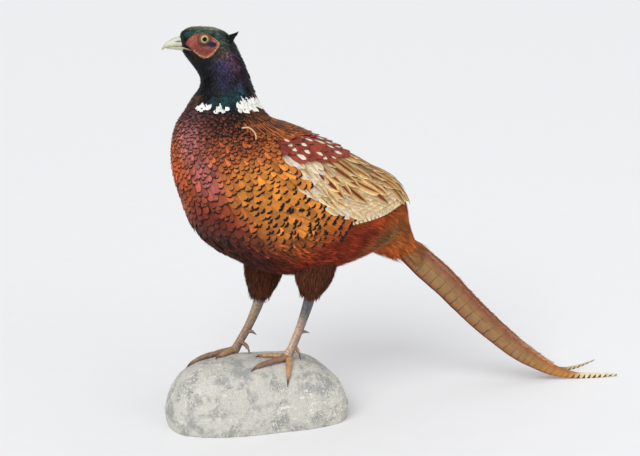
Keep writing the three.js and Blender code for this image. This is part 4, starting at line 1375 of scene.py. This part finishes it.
lid_points = through(np.array(LID), np.linspace(0, len(LID) - 1, LID_ROWS)) * MM
out_share = np.concatenate([np.zeros(LID_ROWS), np.linspace(0, 1, FACE_ROWS)[1:]])[:, None]
radius = np.concatenate([np.repeat(lid_points[:, :1], FACE_COLS, 1),
                         LID_END + (edge - LID_END) * out_share[LID_ROWS:]])
x = EYE[0] + radius * np.cos(turn)
z = EYE[2] + radius * np.sin(turn)
skin_level = face_depth(x, z)
last_ring = face_depth(x[-1] * 0.97 + EYE[0] * 0.03, z[-1] * 0.97 + EYE[2] * 0.03)
skin_level = np.where(skin_level > 0, skin_level, last_ring)
to_edge = 1 - out_share
rise = 1.5 * smooth(to_edge, 0, 0.12) - 0.5 * (1 - smooth(to_edge, 0, 0.05))
lid_level = np.concatenate([lid_points[:, 1], np.full(FACE_ROWS - 1, lid_points[-1, 1])])[:, None]
on_lid = 1 - smooth(radius, 5.8 * MM, 9.2 * MM)
y = (skin_level + rise * MM) * (1 - on_lid) + lid_level * on_lid
flat_place = np.stack([x, 0 * x, z], -1).reshape(-1, 3)
# Papillae stand all over the wattle; on the lid there are fine folds in their place.
near = np.array([noise.voronoi(Vector(p) / PAPILLA_PITCH)[0][0] for p in flat_place])
papilla = np.clip(1 - near.reshape(x.shape) / 0.62, 0, 1) ** 0.7
papilla *= smooth(radius, 7.0 * MM, 9.0 * MM)
folds = np.sin(26 * turn + 2.5 * np.sin(7 * turn)) * (1 - smooth(radius, 7.6 * MM, 9.4 * MM))
folds = folds * smooth(radius, 5.4 * MM, 6.6 * MM)
y = y + (0.42 * papilla + 0.1 * folds) * MM * smooth(to_edge, 0, 0.1)
face = np.stack([x, -y, z], -1)

dx, dz = (x - EYE[0]) / MM, (z - EYE[2]) / MM
blotch = rough(flat_place, 3.2 * MM, 3).reshape(x.shape)
speckle = rough(flat_place + 3, 1.1 * MM, 2).reshape(x.shape)
lit_part = np.clip(0.75 + 0.7 * speckle, 0, 1)
FACE_TONES = [  # colour, strength, middle seen from the eye and size, in millimetres
    ("#d9694a", 1.0, (-14, 0.5), (7.5, 6)), ("#d98660", 1.0, (14, -1.5), (6.5, 5)),
    ("#d2a482", 0.7, (-15.5, -6.5), (2.5, 3)),
    ("#c4694a", 0.7, (0, 6.5), (9, 1.8)), ("#96604c", 0.8, (-7.0, -1), (1.6, 5)),
    ("#8a4a34", 0.5, (4, -11), (6, 3)), ("#a5793f", 0.75, (2, -9.6), (4.6, 1.6)),
]
colour = mixed(np.clip(0.5 + 0.6 * blotch, 0, 1), "#8c2418", "#a83a26")
for tint, strength, middle, size in FACE_TONES:
    colour = mixed(strength * mound(dx, dz, middle, size) * lit_part, colour, tint)
rim = smooth(out_share, 0.6, 0.9) * np.clip(0.7 + 0.9 * speckle, 0, 1)
colour = mixed(0.95 * rim * smooth(dx - 1.3 * dz, -4, 9), colour, "#e3bd7e")
grooves = 1 - smooth(radius, 5.2 * MM, 6.8 * MM)
colour = mixed(grooves, colour, "#74613e")
shadows = {"#453c28": (0.85, (-1.5, -6.6), (5.2, 1.9)), "#5a4a2c": (0.6, (0, 5.6), (5.0, 0.9))}
for tint, (strength, middle, size) in shadows.items():
    colour = mixed(strength * mound(dx, dz, middle, size), colour, tint)
colour = mixed(1 - smooth(radius, 4.7 * MM, 5.1 * MM), colour, "#1e1811")
# Painted light and shade: each papilla is lighter on top and the skin between is darker; the lid
# is light.
colour = colour * (0.72 + 0.38 * np.clip(papilla + grooves, 0, 1))[..., None]

# Dried red skin, grainy, painted lighter on each papilla and grain and darker between as shade.
papillae_skin, node = new_material("dry_papillae_skin")
ground = node("Attribute", attribute_name="ground")
place = node("TexCoord").outputs["Object"]
grains = node("TexVoronoi", (place, 1500.0))
# Painted light and shade: each grain is lighter in its middle and darker at its edge.
shade = node("MapRange", (grains, 0.0, 0.7, 1.1, 0.72))
finish_material(node, ground, shade, (shade, 0.3, 0.0003), Roughness=0.5)

# Painted glass, clear and wet looking, with only a small bright glint.
glass_eye, node = new_material("painted_glass_eye")
ground = node("Attribute", attribute_name="ground")
finish_material(node, ground, Roughness=0.05, Specular_IOR_Level=0.2)
EYE_ROWS, EYE_COLS = 64, 96
tilt = np.linspace(0.02, math.pi - 0.02, EYE_ROWS)[:, None]
spin = np.linspace(0, 2 * np.pi, EYE_COLS, endpoint=False)
ball = np.stack([np.sin(tilt) * np.cos(spin), -np.cos(tilt) + 0 * spin,
                 np.sin(tilt) * np.sin(spin)], -1)
ball *= EYE_RADIUS * (1 + 0.05 * np.exp(-(tilt[..., None] / 0.55) ** 2))
from_axis = EYE_RADIUS / MM * np.sin(tilt) + 0 * spin
fibre = 0.5 + 0.5 * np.sin(37 * spin + 3 * np.sin(11 * spin)) + 0 * tilt
iris = mixed(smooth(from_axis, 2.4, 4.2), "#a08a44", "#cfc088")
iris = iris * (0.9 + 0.14 * fibre)[..., None]
iris = mixed(smooth(from_axis, 4.2, 4.6), iris, "#2c2416")
eye_colour = mixed(1 - smooth(from_axis, 2.3, 2.6), iris, "#020202")
eye_colour = np.where(tilt[..., None] > 1.4, rgb("#1c1610"), eye_colour)

STREAK = 70  # violet feathers in a short streak behind each lower lid
streak_at = np.sort(rng.random(STREAK))
streak_x = EYE[0] + (2.5 + 7.6 * streak_at) * MM
across_streak = rng.uniform(-1, 1, STREAK) * (0.8 + 2.0 * np.sin(np.pi * (0.1 + 0.8 * streak_at)))
streak_z = EYE[2] + (-5.4 - 0.4 * streak_at + across_streak) * MM
reach = np.array([0, 0.35, 0.7, 1.0]) * 3.4 * MM
streak_x = streak_x[:, None] + reach
streak_z = streak_z[:, None] - reach * 0.12
streak_y = -face_depth(streak_x, streak_z) - 1.7 * MM
streak_spine = np.stack([streak_x, streak_y, streak_z], -1)

TUFTS = {"left": (-21, 11.5, 483), "right": (-24, 10, 477)}  # tips: x, from the middle, z
TUFT_ROOT = (-36, 8.8, 473.5)
TUFT_COUNT = 70
for name, side in SIDES.items():
    wattle = new_object(f"wattle_{name}_skin", mirror(face, side),
                        grid_faces(len(face), FACE_COLS)[:, ::-side], [], papillae_skin)
    set_colours(wattle, "ground", colour)
    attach(wattle, "root")
    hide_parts(f"wattle_{name}")

    placed = mirror(ball + EYE_PLACE, side)
    eye = new_object(f"eye_{name}_glass", *closed_tubes([placed]), glass_eye)
    set_colours(eye, "ground", eye_colour)
    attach(eye, "root")
    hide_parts(f"eye_{name}")

    spine = mirror(streak_spine, side)
    out = np.broadcast_to(mirror(EYE_PLACE + (0, -0.01, 0), side) - mirror(EYE_PLACE, side),
                          spine.shape)
    width = np.array([0.5, 1.0, 0.8, 0.15])
    lift = np.broadcast_to(np.linspace(0.0, 0.7, 4), (STREAK, 4))
    velvet = vanes_on(spine, unit(out), np.array([0, 0.35, 0.7, 1]), 0.35, 0.75 * MM, lift, width,
                      0.3, 2, 0.08, 1.0)
    violet = varied(mixed(rng.random(STREAK) * 0.6, "#30264a", "#15131f"), 0.2, STREAK)
    velvet.carry(ground=violet, core=-1.0)
    feather_piece(f"velvet_under_eye_{name}", [velvet], glossy_feather)

    start = np.array(TUFT_ROOT) + rng.uniform(-1, 1, (TUFT_COUNT, 3)) * (4.0, 1.2, 5.6)
    end = np.array(TUFTS[name]) + rng.uniform(-1, 0.3, (TUFT_COUNT, 1)) * (4.0, 0.5, 5.4)
    end += rng.normal(0, 0.5, (TUFT_COUNT, 3))
    share = np.linspace(0, 1, 6)
    spine = start[:, None] + (end - start)[:, None] * share[:, None]
    spine[..., 2] -= 1.3 * np.sin(np.pi * share)
    spine = turn_head(spine * (1, side, 1) * MM)
    out = np.broadcast_to(turn_head(np.array([0, side * 0.01, 0.47]) + [-0.038, 0, 0])
                          - turn_head(np.array([-0.038, 0, 0.47])), spine.shape)
    width = np.array([0.7, 1.0, 0.95, 0.8, 0.5, 0.1])
    tuft = vanes_on(spine, unit(out), share, 0.4, rng.uniform(0.9, 1.6, TUFT_COUNT) * MM,
                    rng.uniform(-1.2, 1.2, (TUFT_COUNT, 1)) * np.ones(6), width, 0.25, 2, 0.06,
                    1.0)
    tuft.carry(ground=varied("#090a0c", 0.2, TUFT_COUNT), core=-1.0)
    ear_tuft = feather_piece(f"ear_tuft_{name}_feathers", [tuft], glossy_feather)
    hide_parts(f"ear_tuft_{name}")


# The corners of the mouth: a thin fold of skin runs back from the bill's edge under each cheek,
# pale at the bill and browner behind.
GAPE_FOLD = [(-90, 466.7), (-86, 466.3), (-82, 465.6), (-78, 464.6), (-74.6, 463.2)]  # x, z
GAPE_STEPS, GAPE_COLS = 60, 24
fold_x, fold_z = np.transpose(GAPE_FOLD) * MM
fold_y = np.maximum(face_depth(fold_x, fold_z) + 0.7 * MM, 3.2 * MM)
fold_path = np.stack([fold_x, -fold_y, fold_z], -1) / MM
fold = tube_grid(fold_path, (0.5, 0.9, 0.9, 0.8, 0.2), (0.5, 0.75, 0.85, 0.8, 0.25),
                 GAPE_STEPS, GAPE_COLS, (0, 0, 1))
fold_tones = mixed(smooth(np.linspace(0, 1, GAPE_STEPS), 0.25, 0.8), "#bdb79c", "#77634a")
for name, side in SIDES.items():
    gape = new_object(f"gape_{name}_skin", *closed_tubes([mirror(fold, side)]), cream_horn)
    set_colours(gape, "ground", np.broadcast_to(fold_tones[:, None], fold.shape))
    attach(gape, "root")


# ---------------------------------------------------------------- legs and feet
# Bare scaly legs and feet, wired through to the rock. Plates of horn overlap down the front of
# each shank and on top of the toes, small round scales cover the rest, and each toe ends in a
# claw. A short spur stands on the back of each shank.
LEGS = {  # paths of x, distance from the middle and z; front toes lie on the rock's top
    "left": {
        "shank": [(60.5, 30, 166), (57.5, 30, 151), (48.5, 29, 124), (39, 28, 100), (33, 28, 88)],
        "middle": [(33, 28), (14, 31.5), (-5, 36.5), (-21, 42)],
        "inner": [(33, 28), (18, 19), (6, 12.5), (-4, 8)],
        "outer": [(33, 28), (29, 39), (25, 48), (21, 55.5)],
        "hind": [(37, 26, 98), (43, 26, 93), (46, 27, 87), (48, 28, 82)],
        "spur": [(46, 28, 114.5), (54, 25, 113), (61.5, 23, 110)],
    },
    "right": {
        "shank": [(16.5, 30, 152), (13, 30, 138), (1, 30, 112), (-12, 30, 91), (-18, 30, 81)],
        "middle": [(-18, 30), (-41, 27.5), (-63, 25), (-84, 22)],
        "inner": [(-18, 30), (-30, 22), (-41, 15), (-50, 10)],
        "outer": [(-18, 30), (-33, 36), (-46, 40), (-57, 43)],
        "hind": [(-13, 28, 92), (-7, 22, 89), (-5, 16, 84), (-6, 10, 79)],
        "spur": [(-2, 30, 105), (4, 27, 103), (9, 25, 99)],
    },
}
SHANK_LONG = (7.2, 6.8, 5.6, 5.4, 6)
SHANK_WIDE = (5.4, 4.8, 4.3, 4.3, 5.2)
TOE_RADII = {"middle": (4.6, 3.9, 3.4, 2.7), "inner": (4.2, 3.5, 3, 2.5),
             "outer": (4.2, 3.5, 3, 2.5), "hind": (2.8, 2.5, 2.2, 1.8)}
CLAW_SHARE = {"middle": 0.2, "inner": 0.27, "outer": 0.25, "hind": 0.4}
BALL_RADIUS = 6.4
SHANK_PLATE, TOE_PLATE = 3.5, 2.3  # lengths of the horn plates in millimetres
LEG_TONES = {  # upper shank, lower shank, middle toe, side toes, hind toe
    "left": ("#5b595d", "#c6a68a", "#96705c", "#bd9468", "#ab8560"),
    "right": ("#a58f74", "#a1836b", "#94745f", "#ad8a64", "#8c7058"),
}

# Dry horny scales with dark grooves between plates and cells, worn paler in patches.
scaly_skin, node = new_material("scaly_horn_skin")
ground = node("Attribute", attribute_name="ground")
plate = node("Attribute", attribute_name="plate")
turned = node("Attribute", attribute_name="turned")
place = node("TexCoord").outputs["Object"]
in_plate = node("Math", [plate.outputs["Fac"]], "FRACT")
from_middle = node("Math", (in_plate, 0.5), "SUBTRACT")
from_middle = node("Math", [from_middle], "ABSOLUTE")
joint = node("MapRange", (from_middle, 0.4, 0.49))
cells = node("TexVoronoi", (place, 720.0), feature="DISTANCE_TO_EDGE")
gap = node("MapRange", (cells, 0.02, 0.16, 1.0, 0.0))
on_side = node("MapRange", (turned.outputs["Fac"], 0.93, 1.05))
groove = node("Mix", (on_side, joint, gap))
mottle = node("TexNoise", (place, 300.0, 4.0))
worn = node("MapRange", (mottle, 0.3, 0.7, 0.68, 1.25))
shade = node("Math", (groove, -0.5, worn), "MULTIPLY_ADD")
sunk = node("Bump", {"Height": groove, "Strength": 0.7, "Distance": 0.0004}, invert=True)
finish_material(node, ground, shade, Roughness=0.5, Normal=sunk)
# Polished brown claws, darker to the tip, and duller grey spurs.
claw_horn = horn_material("brown_claw_horn", 0.4)
spur_horn = horn_material("grey_spur_horn", 0.45)


def toe_path(name, toe):
    """A toe's middle line in millimetres, on the rock for the front toes."""
    path = np.array(LEGS[name][toe], float) * (1, SIDES[name], 1)[:len(LEGS[name][toe][0])]
    if toe == "hind":
        return path
    height = rock_top(path[:, 0] * MM, path[:, 1] * MM) / MM + np.array(TOE_RADII[toe]) * 0.9
    height[0] += 1
    return np.column_stack([path, height])


for name, side in SIDES.items():
    shank = np.array(LEGS[name]["shank"], float) * (1, side, 1)
    grids = [tube_grid(shank, SHANK_WIDE, SHANK_LONG, 150, 48, (-1, 0, 0))]
    tones = [rgb(tone) for tone in LEG_TONES[name]]
    claws, claw_colours = [], []
    for toe, radii in TOE_RADII.items():
        path = toe_path(name, toe)
        end = 1 - CLAW_SHARE[toe]
        share = np.linspace(0, 1, 9)
        bulge = 1 + 0.06 * np.cos(2 * np.pi * share * 3)
        bulge[-1] *= 0.8
        round_sizes = through(np.array(radii, float)[:, None], share * end * 3)[:, 0] * bulge
        middle = through(path, share * end * 3)
        grids.append(tube_grid(middle, round_sizes, round_sizes, 90, 36, (0, 0, 1)))
        tip = through(path, (end - 0.03 + (1.03 - end) * share) * 3)
        ground_level = rock_top(tip[-1, 0] * MM, tip[-1, 1] * MM) / MM
        tip[:, 2] += 0.9 * np.sin(np.pi * share) + (ground_level + 0.5 - tip[-1, 2]) * share ** 2
        slim = radii[-1] * np.array([0.8, 0.86, 0.84, 0.78, 0.7, 0.58, 0.44, 0.27, 0.08])
        claws.append(tube_grid(tip, slim * 0.85, slim, 40, 28, (0, 0, 1)))
        along_claw = np.linspace(0, 1, 40)[:, None] * np.ones(28)
        claw_colours.append(mixed(smooth(along_claw, 0.1, 0.9), "#a07a50", "#4a362a"))
    turn = np.linspace(0, 1, 24)[:, None] * np.pi
    spin = np.linspace(0, 2 * np.pi, 32, endpoint=False)
    knob = np.stack([np.sin(turn) * np.cos(spin), np.sin(turn) * np.sin(spin),
                     np.cos(turn) + 0 * spin], -1)
    knob = np.clip(np.abs(knob), 2e-3, None) * np.sign(knob + 1e-9) * BALL_RADIUS
    grids.append((knob * (1.05, 0.95, 0.85) + shank[-1] + (-1, 0, 0)) * MM)
    leg = one_skin(f"leg_{name}_skin", grids, 0.6 * MM, scaly_skin)
    relax = leg.modifiers.new("relax", "SMOOTH")
    relax.iterations = 3
    with bpy.context.temp_override(object=leg, active_object=leg):
        bpy.ops.object.modifier_apply(modifier="relax")

    known, plates, turns, colours = [], [], [], []
    for i, grid in enumerate(grids[:-1]):
        steps = np.linalg.norm(np.diff(grid.mean(1), axis=0), axis=-1)
        along = np.concatenate([[0], np.cumsum(steps)])[:, None] / MM
        angle = np.linspace(0, 2 * np.pi, grid.shape[1], endpoint=False)[None]
        off = (angle - np.pi / 2 + np.pi) % (2 * np.pi) - np.pi
        pitch = SHANK_PLATE if i == 0 else TOE_PLATE
        known.append(grid.reshape(-1, 3))
        plates.append((along / pitch + 0.5 * (off > 0) * (i == 0)).ravel())
        turns.append((np.abs(off) / math.radians(62 if i == 0 else 78) + 0 * along).ravel())
        if i == 0:
            down = smooth(along, 20, 52) + 0 * off
            tone = mixed(down, tones[0], tones[1])
            tone = mixed(0.6 * smooth(np.abs(off), 1.2, 2.2) + 0 * along, tone, "#77757a")
        else:
            tone = np.broadcast_to(tones[(2, 3, 3, 4)[i - 1]], (len(along), off.shape[1], 3))
        colours.append(np.array(tone).reshape(-1, 3))
    places = nearest(np.concatenate(known), leg)
    set_colours(leg, "ground", np.concatenate(colours)[places])
    set_values(leg, "plate", np.concatenate(plates)[places])
    set_values(leg, "turned", np.concatenate(turns)[places])
    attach(leg, "root")
    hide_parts(f"shank_{name}", *(f"toe_{toe}_{name}" for toe in TOE_RADII))

    claw_piece = new_object(f"claws_{name}", *closed_tubes(claws), claw_horn)
    set_colours(claw_piece, "ground", np.concatenate(claw_colours).reshape(-1, 3))
    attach(claw_piece, "root")
    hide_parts(*(f"claw_{toe}_{name}" for toe in TOE_RADII))

    path = np.array(LEGS[name]["spur"], float) * (1, side, 1)
    horn = tube_grid(path, (3.6, 3.0, 2.0, 1.1, 0.3), (3.6, 3.0, 2.0, 1.1, 0.3), 40, 32, (0, 0, 1))
    spur = new_object(f"spur_{name}_horn", *closed_tubes([horn]), spur_horn)
    along_spur = np.linspace(0, 1, 40)[:, None] * np.ones(32)
    set_colours(spur, "ground", mixed(along_spur, "#94816c", "#5d585a"))
    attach(spur, "root")
    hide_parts(f"spur_{name}")
